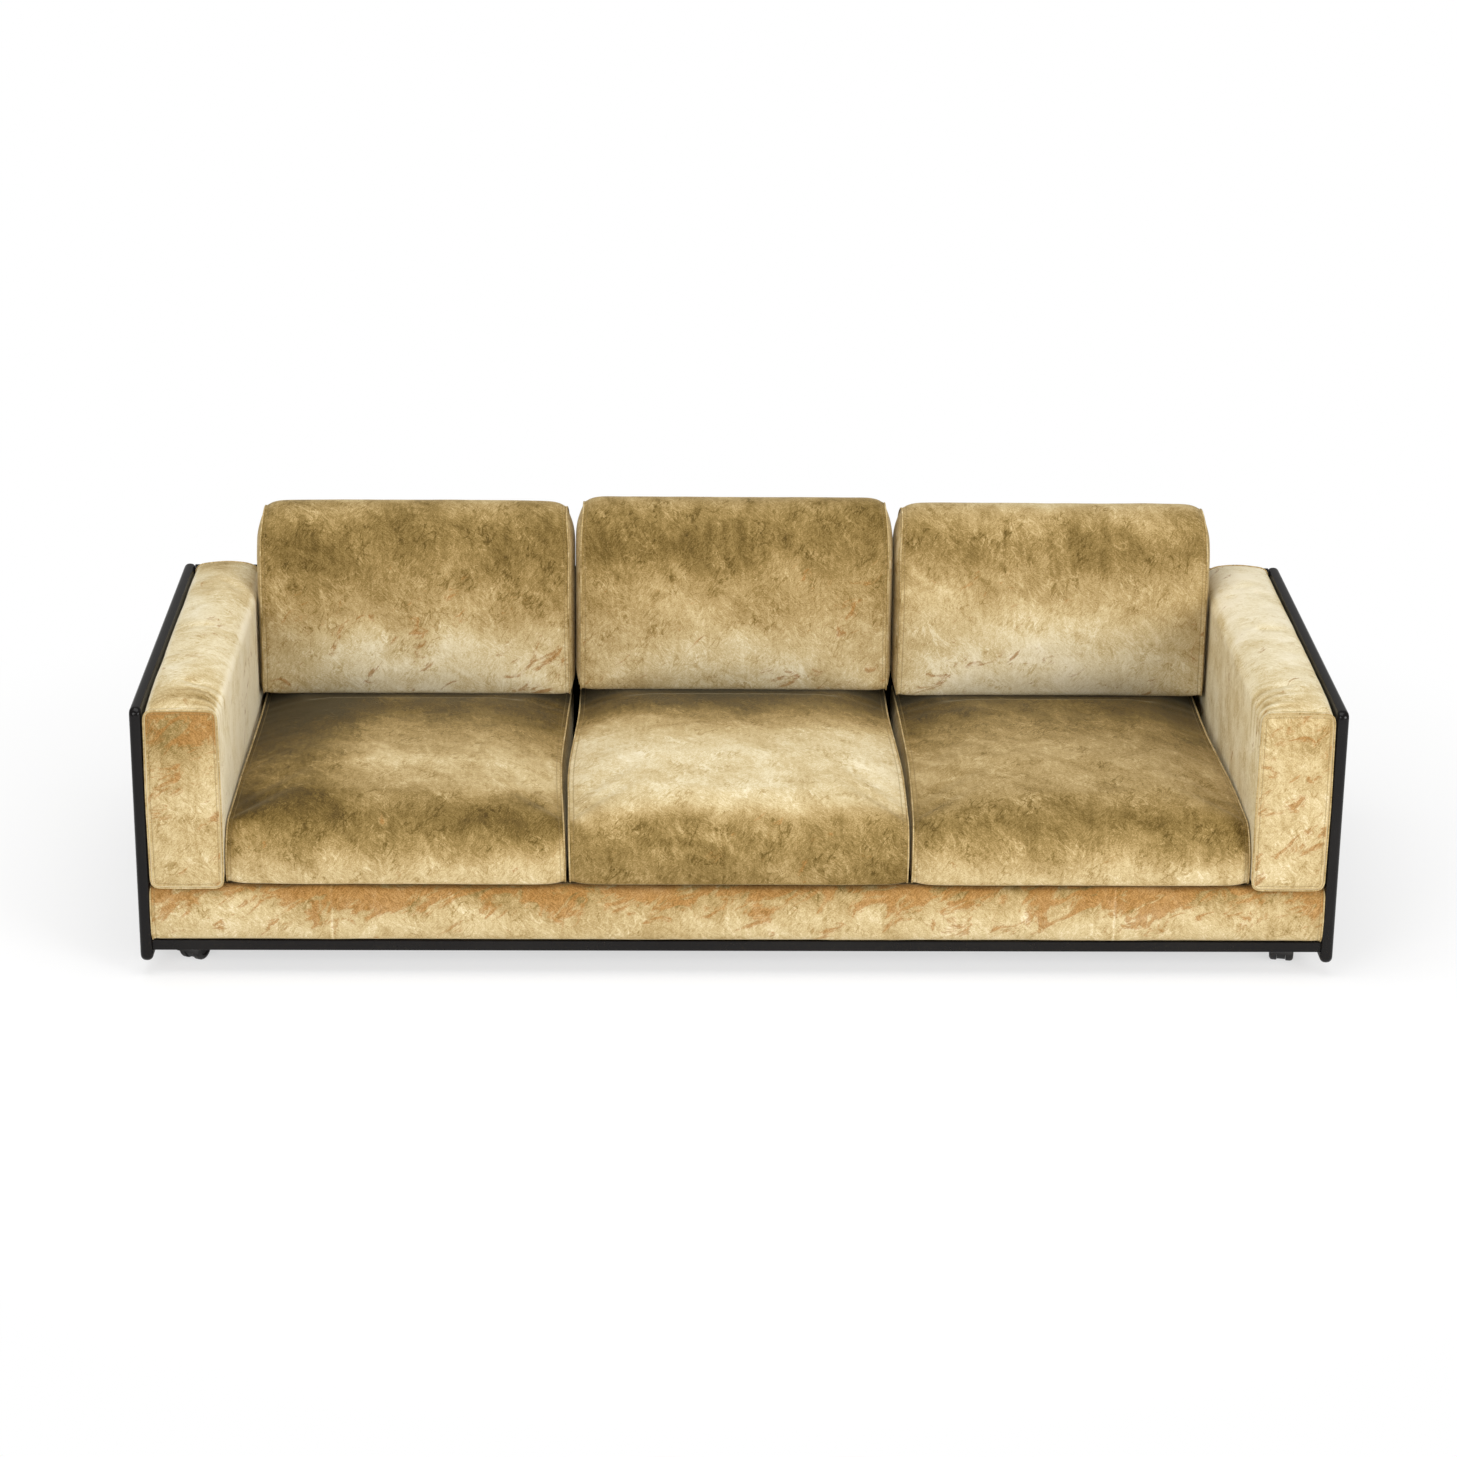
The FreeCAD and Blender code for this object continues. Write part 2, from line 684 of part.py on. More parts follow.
def castor_plates():
    """Mounting plates with the pins that the castors swivel on."""
    plates = []
    half = plate_size / 2
    for x, y in castor_places().values():
        plate = box(x - half, x + half, y - half, y + half, plate_bottom, castor_height)
        pin = rod(swivel_pin_radius, (x, y, plate_bottom), (0, 0, -1), swivel_pin_length)
        plates.append(cut_all(plate.fuse(pin).removeSplitter(), plate_screws(screw_gap)))
    return Part.makeCompound(plates)


def axle_rod(radius, half_length):
    """A rod on the axle's line, as long to each side."""
    return rod(radius, (-half_length, castor_trail, axle_height), (1, 0, 0), 2 * half_length)


def castor_hood():
    """Web, hood and swivel boss of a castor that points along +Y, with its swivel axis on Z."""
    outer = wheel_radius + hood_gap + hood_wall
    half_width = hood_web / 2 + wheel_side_gap + wheel_width
    wheel_top = axle_height + wheel_radius
    boss_top = plate_bottom - hood_top_gap
    above = box(-half_width, half_width, castor_trail - outer, castor_trail + outer,
                axle_height - hood_skirt, axle_height + outer)
    shell = axle_rod(outer, half_width).cut(axle_rod(wheel_radius + hood_gap, half_width)).common(above)
    web = axle_rod(outer, hood_web / 2).common(above)
    hub = axle_rod(hood_hub, hood_web / 2)
    pin_block = box(-hood_web / 2, hood_web / 2, -hood_boss, castor_trail, axle_height, wheel_top)
    boss = rod(hood_boss, (0, 0, wheel_top), (0, 0, 1), boss_top - wheel_top)
    body = shell.fuse([web, hub, pin_block, boss]).removeSplitter()
    bore_end = plate_bottom - swivel_pin_length - hood_top_gap
    swivel_bore = rod(swivel_pin_radius + swivel_gap, (0, 0, bore_end), (0, 0, 1), castor_height)
    return cut_all(body, [swivel_bore, axle_rod(axle_radius + axle_gap, hood_web)])


def castor_axle():
    return axle_rod(axle_radius, hood_web / 2 + wheel_side_gap + axle_engagement)


def rim_edges(wheel, x):
    """The round edges of a wheel in one plane across its axle."""
    return [edge for edge in wheel.Edges
            if abs(edge.BoundBox.XMin - x) < rim_match and abs(edge.BoundBox.XMax - x) < rim_match]


def castor_wheel(sign):
    """A dished wheel on one end of the axle."""
    inner = (sign * (hood_web / 2 + wheel_side_gap), castor_trail, axle_height)
    face = (inner[0] + sign * wheel_width, castor_trail, axle_height)
    disc = rod(wheel_radius, inner, (sign, 0, 0), wheel_width)
    rounded = disc.makeFillet(wheel_edge, rim_edges(disc, face[0]))
    rounded = rounded.makeFillet(wheel_inner_edge, rim_edges(rounded, inner[0]))
    dish_radius = wheel_radius - wheel_dish_rim
    dish = Part.makeCone(dish_radius, dish_radius - wheel_dish, wheel_dish, point(*face), point(-sign, 0, 0))
    bore = rod(axle_radius + wheel_bore_gap, inner, (sign, 0, 0), axle_engagement + wheel_side_gap)
    return cut_all(rounded, [dish, bore])


def castors():
    """The turning pieces of each castor, turned as it stands."""
    pieces = {
        "hood": castor_hood(),
        "axle": castor_axle(),
        "wheel_left": castor_wheel(sides["left"]),
        "wheel_right": castor_wheel(sides["right"]),
    }
    parts = {}
    for corner, (x, y) in castor_places().items():
        for kind, piece in pieces.items():
            placed = piece.copy()
            placed.rotate(point(0, 0, 0), point(0, 0, 1), castor_turn[corner])
            placed.translate(point(x, y, 0))
            parts[f"castor_{kind}_{corner}"] = placed
    return parts


def sofa():
    """Every node of the sofa by name."""
    parts = {f"side_panel_{side}": side_panel(sign) for side, sign in sides.items()}
    parts["back_panel"] = back_panel()
    parts["plinth_rail"] = plinth_rail()
    parts.update(platform_rails())
    parts["castor_blocks"] = castor_blocks()
    parts["seat_webbing"] = seat_webbing()
    parts["deck_cloth"] = deck_cloth()
    parts["front_border"] = front_border()
    parts["dust_cover"] = dust_cover()
    parts["panel_bolts"] = Part.makeCompound([bolt(*place) for place in bolt_places()])
    parts["corner_brackets"] = corner_brackets()
    parts["bracket_screws"] = Part.makeCompound(bracket_screws())
    parts["plinth_screws"] = Part.makeCompound(plinth_screws())
    parts["castor_plates"] = castor_plates()
    parts["castor_screws"] = Part.makeCompound(plate_screws())
    parts.update(castors())
    parts.update(cushions())
    return parts


os.makedirs("parts", exist_ok=True)
for node, shape in sofa().items():
    shape.exportStep(os.path.join("parts", f"{node}.step"))
    print(node, len(shape.Solids), "solids,", round(shape.Volume / 1000, 1), "cm3, valid:", shape.isValid())
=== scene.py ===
import math

import bmesh
import bpy
import numpy as np
from mathutils import Matrix, Vector, noise


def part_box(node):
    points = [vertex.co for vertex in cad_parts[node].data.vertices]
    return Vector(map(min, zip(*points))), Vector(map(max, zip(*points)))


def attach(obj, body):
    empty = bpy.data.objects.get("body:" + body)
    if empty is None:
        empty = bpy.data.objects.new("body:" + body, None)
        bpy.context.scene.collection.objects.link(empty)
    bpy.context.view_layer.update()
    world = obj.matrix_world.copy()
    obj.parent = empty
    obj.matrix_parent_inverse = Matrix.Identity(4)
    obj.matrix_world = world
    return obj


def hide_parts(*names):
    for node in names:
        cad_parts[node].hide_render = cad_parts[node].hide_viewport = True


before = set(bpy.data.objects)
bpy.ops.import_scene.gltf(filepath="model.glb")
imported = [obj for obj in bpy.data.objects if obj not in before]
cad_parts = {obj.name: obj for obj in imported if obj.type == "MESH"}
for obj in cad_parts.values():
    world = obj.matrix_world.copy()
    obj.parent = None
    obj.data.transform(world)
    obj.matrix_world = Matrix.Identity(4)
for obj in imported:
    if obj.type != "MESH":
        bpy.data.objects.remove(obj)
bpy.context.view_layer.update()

# Sizes of the sewing, in metres
cloth_step = 0.0115                        # spacing of the cloth's points
seam_rows = [0.0, 0.0035, 0.007, 0.0105]   # closer rows beside a seam
join_row = 0.0045                          # closer rows beside a join or fold
join_room = 0.008                          # other rows keep this far from a join or fold
stitch_line = 0.007                        # topstitching beside a seam
stitch_length = 0.005
stitch_depth = 0.0009
stitch_width = 0.0016
seam_rise = 0.0008                         # height of the doubled cloth along a seam
seam_width = 0.002
pleat_width = 0.0055
fold_width = 0.0065
edge_width = 0.040                         # a cover eases over this distance from its end seams
cap_rounding = 0.055                       # a cap swells over this distance from its seam
seat_hem = 0.0025                          # side seams of the seats inside their widest places
back_hem = 0.009                           # side seams of the backs inside their widest places
welt_radius = 0.0019
welt_lift = 0.0006
welt_sides = 6
corner_points = 13                         # points along a rounded corner of an outline
rounding_limit = 0.48                      # largest share of a side that a rounding takes
flat_share = 0.15                          # share of a crown that is left at the end seams
back_tilt = 0.009                          # fall of the backs' undersides from front to rear
back_overhang = 0.020                      # front of the backs' swell before their lower front edge
foam_depth = 0.011                         # foam below the surface of its cover
crease_depth = 0.0022
slow_wave = 0.11                           # lengths over which cloth and pile change
quick_wave = 0.035
bolt_step = 1.7                            # covers are cut from the bolt this far apart
cap_step = 0.4                             # and their caps this far from them
puff_frames = 20
touch_gap = 0.0008                         # room left between soft pieces that touch

sides = {"left": -1, "right": 1}
places = ["left", "middle", "right"]
castor_corners = ["front_left", "front_right", "rear_left", "rear_right"]


# Finishes

def dye(red, green, blue):
    """A colour that is given as on a screen, 0 to 255, in light."""
    shares = [value / 255 for value in (red, green, blue)]
    return [s / 12.92 if s <= 0.04045 else ((s + 0.055) / 1.055) ** 2.4 for s in shares] + [1.0]


class Thread:
    """A number, colour or vector in a finish. Arithmetic on it adds the nodes that work it out."""

    def __init__(self, finish, socket):
        self.finish = finish
        self.socket = socket

    def maths(self, operation, first, second=0.0):
        return self.finish.node("ShaderNodeMath", {"operation": operation}, {0: first, 1: second})

    def __add__(self, other):
        return self.maths("ADD", self, other)

    def __radd__(self, other):
        return self.maths("ADD", other, self)

    def __sub__(self, other):
        return self.maths("SUBTRACT", self, other)

    def __rsub__(self, other):
        return self.maths("SUBTRACT", other, self)

    def __mul__(self, other):
        return self.maths("MULTIPLY", self, other)

    def __rmul__(self, other):
        return self.maths("MULTIPLY", other, self)

    def __truediv__(self, other):
        return self.maths("DIVIDE", self, other)

    def __mod__(self, other):
        return self.maths("FLOORED_MODULO", self, other)

    def __abs__(self):
        return self.maths("ABSOLUTE", self)

    def rise(self, low, high):
        """0 below low, 1 above high and smooth between them."""
        return self.finish.node("ShaderNodeMapRange", {"interpolation_type": "SMOOTHSTEP"},
                                {"Value": self, "From Min": low, "From Max": high})


class Finish:
    """A material in the making: its nodes and its surface."""

    def __init__(self, name, surface):
        self.material = bpy.data.materials.new(name)
        self.material.use_nodes = True
        self.tree = self.material.node_tree
        self.surface = self.tree.nodes["Principled BSDF"]
        self.give(self.surface, surface)

    def give(self, node, inputs):
        for key, value in inputs.items():
            if isinstance(value, Thread):
                self.tree.links.new(value.socket, node.inputs[key])
            else:
                node.inputs[key].default_value = value

    def node(self, kind, settings, inputs, output=0):
        made = self.tree.nodes.new(kind)
        for key, value in settings.items():
            setattr(made, key, value)
        self.give(made, inputs)
        return Thread(self, made.outputs[output])

    def place(self):
        """Where a point is on its piece, in metres."""
        return self.node("ShaderNodeTexCoord", {}, {}, "Object")

    def axis(self, place, letter):
        return self.node("ShaderNodeSeparateXYZ", {}, {0: place}, letter)

    def turned(self, place, turn, scale):
        return self.node("ShaderNodeMapping", {"vector_type": "TEXTURE"},
                         {"Vector": place, "Rotation": turn, "Scale": scale})

    def grain(self, place, scale, detail=4.0, roughness=0.5, distortion=0.0):
        return self.node("ShaderNodeTexNoise", {}, {
            "Vector": place, "Scale": scale, "Detail": detail, "Roughness": roughness,
            "Distortion": distortion})

    def laid(self, name, output="Fac"):
        """A number or vector that is laid on the points of a piece."""
        return self.node("ShaderNodeAttribute", {"attribute_name": name}, {}, output)

    def mix(self, share, first, second):
        return self.node("ShaderNodeMix", {"data_type": "RGBA"}, {0: share, 6: first, 7: second}, 2)

    def shades(self, share, stops):
        """A run of colours, as [(share, colour)]."""
        run = self.node("ShaderNodeValToRGB", {}, {"Fac": share})
        elements = run.socket.node.color_ramp.elements
        while len(elements) < len(stops):
            elements.new(1.0)
        for element, (at, colour) in zip(elements, stops):
            element.position = at
            element.color = colour
        return run

    def bumps(self, height, depth, strength=1.0):
        return self.node("ShaderNodeBump", {}, {"Height": height, "Distance": depth, "Strength": strength})

    def wear(self, **threads):
        """Leads threads to the surface: colour, roughness, normal."""
        sockets = {"colour": "Base Color", "roughness": "Roughness", "normal": "Normal"}
        self.give(self.surface, {sockets[key]: thread for key, thread in threads.items()})
        return self.material


# Tones of the pile by the way it lies, with painted shade and painted light: below 0 it stands in painted
# shade, at 1 it is brushed flat, above 1 it is paler with painted light
pile_shades = [
    (-0.30, dye(44, 33, 8)), (0.00, dye(76, 58, 20)), (0.22, dye(108, 87, 41)),
    (0.42, dye(143, 119, 71)), (0.62, dye(175, 151, 104)), (0.82, dye(200, 181, 138)),
    (1.00, dye(218, 205, 170)), (1.20, dye(232, 222, 196)),
]


def pile_tone(velvet, lie):
    darkest = pile_shades[0][0]
    span = pile_shades[-1][0] - darkest
    stops = [((at - darkest) / span, tone) for at, tone in pile_shades]
    return velvet.shades((lie - darkest) / span, stops)


def topstitching(velvet):
    """The pressed line beside the seams, darkened with painted shade in its groove, and the thread that
    lies in it stitch by stitch.
    """
    line = 1.0 - abs(velvet.laid("seam") - stitch_line).rise(0.0005, 0.0014)
    along = (velvet.laid("run") % stitch_length) / stitch_length
    return line, line * along.rise(0.25, 0.45)


def gold_velvet():
    """Brushed and worn pile: pale where it lies flat, olive where it stands, rust where it is rubbed, with
    painted shade and painted light carried in its lie.
    """
    velvet = Finish("gold_velvet", {
        "Specular IOR Level": 0.15, "Sheen Weight": 0.30, "Sheen Roughness": 0.34,
        "Sheen Tint": dye(250, 236, 196)})
    cloth = velvet.laid("cloth", "Vector")

    def strokes_at(turn, stretch, scale, detail=4.0, distortion=0.0, roughness=0.62):
        """Marks of a brush across the cloth."""
        brushed = velvet.turned(cloth, (0.0, 0.0, turn), (1.0, stretch, 1.0))
        return velvet.grain(brushed, scale, detail, roughness, distortion)

    def creases_at(turn, scale):
        """Thin broken lines along which the pile was crushed."""
        lines = strokes_at(turn, 2.6, scale, 3.0, 0.9, 0.5)
        here = velvet.grain(cloth, scale * 0.4, 2.0).rise(0.50, 0.64)
        return (1.0 - abs(lines - 0.5).rise(0.008, 0.045)) * here

    drift = velvet.grain(cloth, 6.0, 3.0)
    clouds = strokes_at(0.7, 1.6, 21.0, 7.0, 0.8)
    crossing = velvet.grain(cloth, 14.0, 2.0).rise(0.44, 0.56)
    one_way = strokes_at(0.85, 3.0, 240.0, 4.0, 0.5)
    other_way = strokes_at(-0.6, 3.0, 240.0, 4.0, 0.5)
    strokes = one_way * (1.0 - crossing) + other_way * crossing
    streaks = strokes_at(0.05, 6.0, 130.0)
    grains = velvet.grain(cloth, 400.0, 3.0, 0.65)
    pale_creases = creases_at(0.6, 46.0)
    dark_creases = creases_at(-0.5, 55.0)
    # The laid lie carries painted shade and painted light as well as the pile's own lie.
    lie = velvet.laid("nap_and_painted_light") + (drift - 0.5) * 0.40 + (clouds - 0.5) * 0.66 + (strokes - 0.5) * 0.60
    lie = lie + (streaks - 0.5) * 0.30 + (grains - 0.5) * 0.72
    lie = lie + pale_creases * 0.14 - dark_creases * 0.18
    smears = strokes_at(-0.95, 2.2, 27.0, 9.0, 1.0, 0.70) + (drift - 0.5) * 0.30
    rubbed = (smears + velvet.laid("rust") * 0.12 - 0.70).rise(0.0, 0.08)
    rust = velvet.mix((strokes * 0.5 + grains * 0.5).rise(0.38, 0.62), dye(128, 84, 32), dye(176, 128, 68))
    line, thread = topstitching(velvet)
    tone = velvet.mix(rubbed * 0.72, pile_tone(velvet, lie), rust)
    # Painted shade along the pressed topstitching groove.
    tone = velvet.mix(line * 0.32, tone, dye(92, 72, 36))
    tone = velvet.mix(thread * 0.25, tone, dye(176, 150, 98))
    height = clouds * 0.5 + strokes * 0.25 + grains * 0.15 + pale_creases * 0.15 - line * 0.4
    return velvet.wear(
        colour=tone,
        roughness=0.72 + (clouds - 0.5) * 0.22,
        normal=velvet.bumps(height, 0.0020, 0.55))


def black_lacquer():
    """Sprayed lacquer: near black, with a faint ripple in its gloss."""
    lacquer = Finish("black_lacquer", {
        "Coat Weight": 0.15, "Coat Roughness": 0.08, "Specular IOR Level": 0.11})
    place = lacquer.place()
    ripple = lacquer.grain(place, 38.0, 2.0)
    rubbed = lacquer.grain(place, 6.0, 5.0, 0.6)
    return lacquer.wear(
        colour=lacquer.mix(rubbed.rise(0.35, 0.7), dye(14, 12, 12), dye(21, 19, 18)),
        roughness=0.18 + rubbed * 0.12,
        normal=lacquer.bumps(ripple, 0.0004, 0.5))


def sawn_timber():
    timber = Finish("sawn_timber", {"Specular IOR Level": 0.3})
    place = timber.place()
    along = timber.turned(place, (0.0, 0.0, 0.0), (0.5, 0.04, 0.04))
    rings = timber.grain(along, 3.0, 5.0, 0.6, 0.8)
    fibres = timber.grain(along, 30.0, 3.0)
    return timber.wear(
        colour=timber.mix(rings.rise(0.3, 0.7), dye(205, 172, 122), dye(172, 134, 86)),
        roughness=0.62 + fibres * 0.2,
        normal=timber.bumps(fibres, 0.0006, 0.6))


def woven_cloth(name, warp, weft, thread_width):
    """Plain weave: two threads that take turns on top."""
    cloth = Finish(name, {"Specular IOR Level": 0.2, "Sheen Weight": 0.1})
    place = cloth.place()
    across = abs(cloth.axis(place, "X") % (2 * thread_width) / thread_width - 1.0)
    along = abs(cloth.axis(place, "Y") % (2 * thread_width) / thread_width - 1.0)
    wear = cloth.grain(place, 24.0, 4.0)
    over = across.rise(0.2, 0.8) * along.rise(0.2, 0.8)
    return cloth.wear(
        colour=cloth.mix(over * 0.7 + wear * 0.3, warp, weft),
        roughness=0.80 + wear * 0.15,
        normal=cloth.bumps(over, 0.0006, 0.6))


def cut_foam():
    foam = Finish("cut_foam", {"Specular IOR Level": 0.1})
    place = foam.place()
    cells = foam.grain(place, 420.0, 2.0)
    clouds = foam.grain(place, 9.0, 3.0)
    return foam.wear(
        colour=foam.mix(clouds, dye(232, 214, 160), dye(214, 190, 128)),
        roughness=0.88 + cells * 0.1,
        normal=foam.bumps(cells, 0.0008, 0.8))


def zip_tape():
    """Woven tape with a row of teeth along it."""
    tape = Finish("zip_tape", {"Specular IOR Level": 0.35})
    place = tape.place()
    half_pitch = 0.0015
    teeth = abs(tape.axis(place, "X") % (2 * half_pitch) / half_pitch - 1.0).rise(0.3, 0.7)
    wear = tape.grain(place, 60.0, 3.0)
    return tape.wear(
        colour=tape.mix(teeth * 0.5 + wear * 0.3, dye(126, 104, 60), dye(164, 142, 92)),
        roughness=0.50 + wear * 0.2,
        normal=tape.bumps(teeth, 0.0008, 0.7))


def plated_steel():
    steel = Finish("plated_steel", {"Metallic": 1.0})
    place = steel.place()
    spangle = steel.grain(place, 55.0, 3.0)
    return steel.wear(
        colour=steel.mix(spangle, dye(176, 178, 180), dye(206, 207, 206)),
        roughness=0.26 + spangle * 0.16,
        normal=steel.bumps(spangle, 0.0002, 0.4))


def black_nylon():
    """Moulded nylon, with the dust that a castor picks up."""
    nylon = Finish("black_nylon", {"Coat Weight": 0.3, "Coat Roughness": 0.15})
    place = nylon.place()
    dust = nylon.grain(place, 90.0, 6.0, 0.65)
    skin = nylon.grain(place, 500.0, 2.0)
    return nylon.wear(
        colour=nylon.mix(dust.rise(0.55, 0.85) * 0.5, dye(26, 25, 25), dye(88, 84, 80)),
        roughness=0.25 + dust * 0.22,
        normal=nylon.bumps(skin, 0.0002, 0.4))


# Covers that are sewn and filled

class Cover:
    """The points and faces of a sewn cover, and what its cloth knows about each point."""

    def __init__(self):
        self.points = []
        self.faces = []
        self.cloth = []     # place on the flat cloth that was cut for it
        self.seam = []      # distance from the nearest end seam
        self.run = []       # way round the outline
        self.side = []      # which of the outline's four sides; -1 on an end cap
        self.end = []       # -1 and 1 on the end caps, 0 between them
        self.welts = []     # points along each end seam

    def add(self, points, cloth, seam, run, side, end):
        first = len(self.points)
        self.points.extend(points)
        self.cloth.extend(cloth)
        self.seam.extend(seam)
        self.run.extend(run)
        self.side.extend(side)
        self.end.extend([end] * len(points))
        return np.arange(first, len(self.points))

    def settle(self):
        for name in ("points", "cloth", "seam", "run", "side", "end"):
            setattr(self, name, np.array(getattr(self, name)))


def rounded_sides(corners):
    """The four sides of a rounded outline as dense lines.

    A corner is (a, b, radius, whether a side ends there)."""
    spots = np.array([corner[:2] for corner in corners])
    line = []
    turns = []
    for i, (a, b, radius, side_ends) in enumerate(corners):
        back = spots[i - 1] - spots[i]
        on = spots[(i + 1) % len(spots)] - spots[i]
        back_length = np.linalg.norm(back)
        on_length = np.linalg.norm(on)
        angle = math.acos(np.clip(back @ on / (back_length * on_length), -1, 1))
        reach = min(radius / math.tan(angle / 2), rounding_limit * min(back_length, on_length))
        start = spots[i] + back / back_length * reach
        end = spots[i] + on / on_length * reach
        shares = np.linspace(0, 1, corner_points)[:, None]
        line.extend((1 - shares) ** 2 * start + 2 * shares * (1 - shares) * spots[i] + shares ** 2 * end)
        if side_ends:
            turns.append(len(line) - (corner_points + 1) // 2)
    line = np.array(line)
    ends = turns[1:] + [turns[0] + len(line)]
    return [line.take(range(a, b + 1), axis=0, mode="wrap") for a, b in zip(turns, ends)]


def spaced(line, count):
    """Points at even distances along a line, without its last one."""
    lengths = np.concatenate([[0], np.cumsum(np.linalg.norm(np.diff(line, axis=0), axis=1))])
    at = np.linspace(0, lengths[-1], count + 1)[:-1]
    return np.column_stack([np.interp(at, lengths, line[:, 0]), np.interp(at, lengths, line[:, 1])])


def inset(ring, distance):
    """An outline moved inwards."""
    along = np.roll(ring, -1, axis=0) - np.roll(ring, 1, axis=0)
    inward = np.column_stack([-along[:, 1], along[:, 0]])
    inward /= np.linalg.norm(inward, axis=1)[:, None]
    following = np.roll(ring, -1, axis=0)
    area = np.sum(ring[:, 0] * following[:, 1] - following[:, 0] * ring[:, 1])
    return ring + inward * distance * np.sign(area)


def seam_to_seam(length, joins):
    """Rows across a cover, closer together at its end seams and beside its joins."""
    inner = length - 2 * seam_rows[-1]
    count = round(inner / cloth_step)
    rows = [seam_rows[-1] + inner * i / count for i in range(1, count)]
    rows = [row for row in rows if all(abs(row - join) > join_room for join in joins)]
    rows += [join + aside for join in joins for aside in (-join_row, 0.0, join_row)]
    return seam_rows + sorted(rows) + [length - row for row in reversed(seam_rows)]


def cap_patch(ring, counts):
    """Evenly laid points inside an outline with four sides."""
    up, along = counts[:2]
    front = ring[:up + 1]
    top = ring[up:up + along + 1]
    rear = ring[up + along:2 * up + along + 1]
    bottom = np.vstack([ring[2 * up + along:], ring[:1]])
    inside = []
    for i in range(1, up):
        for j in range(1, along):
            v = i / up
            u = j / along
            edges = (1 - u) * front[i] + u * rear[up - i] + (1 - v) * bottom[along - j] + v * top[j]
            front_ends = (1 - v) * front[0] + v * front[up]
            rear_ends = (1 - v) * bottom[0] + v * rear[0]
            inside.append(edges - ((1 - u) * front_ends + u * rear_ends))
    return np.array(inside)


def patch_rows(ring, inside, counts):
    """The grid of point numbers that cap_patch made, ring included."""
    up, along = counts[:2]
    grid = np.zeros((up + 1, along + 1), int)
    grid[:, 0] = ring[:up + 1]
    grid[up, :] = ring[up:up + along + 1]
    grid[::-1, along] = ring[up + along:2 * up + along + 1]
    grid[0, ::-1] = np.append(ring[2 * up + along:], ring[0])
    grid[1:up, 1:along] = inside.reshape(up - 1, along - 1)
    return grid


def swelling(from_seam):
    """How far a cap has swollen out at a distance from its seam, from 0 to 1."""
    return 1 - (1 - np.minimum(1, np.asarray(from_seam) / cap_rounding)) ** 2.2


def quads(rows, closed):
    """Faces between rows of point numbers."""
    faces = []
    for low, high in zip(rows[:-1], rows[1:]):
        count = len(low)
        for j in range(count if closed else count - 1):
            following = (j + 1) % count
            faces.append((low[j], low[following], high[following], high[j]))
    return faces


def sewn_cover(section, counts, ends, axis, dome, ease, draw_in=0.0, drawn=0, joins=(), taper=0.0):
    """A cover that carries an outline from one end seam to the other and has a cap at each end.

    section(t) gives the outline's corners for t from -1 to 1 along the axis, and counts the points on its
    four sides. The caps stand out by dome. The outline is smaller at the end seams by ease. The ends are
    pulled in by draw_in between their corners, and by taper towards the top."""
    taper_start = 0.78
    low, high = ends
    half = (high - low) / 2
    cover = Cover()

    def in_the_room(ring, t, out):
        share = (ring[:, drawn] - ring[:, drawn].min()) / np.ptp(ring[:, drawn])
        upper = np.clip((share - taper_start) / (1 - taper_start), 0, 1)
        pulled = draw_in * 4 * share * (1 - share) + taper * upper ** 1.6
        reach = half - pulled * abs(t) ** 3
        return np.insert(ring, axis, (low + high) / 2 + t * reach + np.sign(t) * out, axis=1)

    def way_round(ring):
        return np.concatenate([[0], np.cumsum(np.linalg.norm(np.diff(ring, axis=0), axis=1))])

    side = np.repeat([0, 1, 2, 3], counts)
    rows = []
    end_rings = {}
    for row in seam_to_seam(high - low, [join - low for join in joins]):
        t = row / half - 1
        from_end = min(row, 2 * half - row)
        lines = rounded_sides(section(t))
        ring = np.vstack([spaced(line, count) for line, count in zip(lines, counts)])
        ring = inset(ring, ease * max(0, 1 - from_end / edge_width) ** 2)
        seam = np.full(len(ring), from_end)
        cloth = np.column_stack([seam * 0 + low + row, way_round(ring)])
        rows.append(cover.add(in_the_room(ring, t, 0), cloth, seam, way_round(ring), side, 0))
        if from_end < 1e-9:
            end_rings[int(np.sign(t))] = (ring, rows[-1])
    cover.faces += quads(rows, True)

    for end, (ring, numbers) in end_rings.items():
        cover.welts.append(numbers)
        rows = [numbers]
        for row in seam_rows[1:]:
            inner = inset(ring, row)
            placed = in_the_room(inner, end, dome * swelling(row))
            seam = np.full(len(inner), row)
            rows.append(cover.add(placed, inner, seam, way_round(ring), side * 0 - 1, end))
        inside = cap_patch(inner, counts)
        from_ring = np.linalg.norm(inside[:, None] - ring[None], axis=2).min(axis=1)
        blank = np.zeros(len(inside))
        placed = in_the_room(inside, end, dome * swelling(from_ring))
        middle = cover.add(placed, inside, from_ring, blank, blank.astype(int) - 1, end)
        cover.faces += quads(rows, True)
        cover.faces += quads(patch_rows(rows[-1], middle, counts), False)
    cover.settle()
    return cover


def crowned(t, squareness=7):
    """How full a cushion is along its length: full in the middle, flat at the end seams."""
    return 1 - abs(t) ** squareness


def counts_for(*lengths):
    up, along = [max(4, round(length / cloth_step)) for length in lengths]
    return [up, along, up, along]


# The eight cushions and the border

border_joins = [-0.780, 0.723]                  # seams between two lengths of the border's cloth, in x
arm_folds = [-0.422, -0.396, -0.364, -0.326]    # folds over the arms behind their front caps, in y
back_pleats = {                                 # pleats below the top of the backs, in x
    "left": [-0.86, -0.47],
    "middle": [-0.052, -0.020, 0.012, 0.060, 0.104],
    "right": [0.555, 0.648, 0.690, 0.760],
}


def back_foot():
    """Where the lower front edge of the back cushions is, in y."""
    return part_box("back_cover_left")[0].y + back_overhang


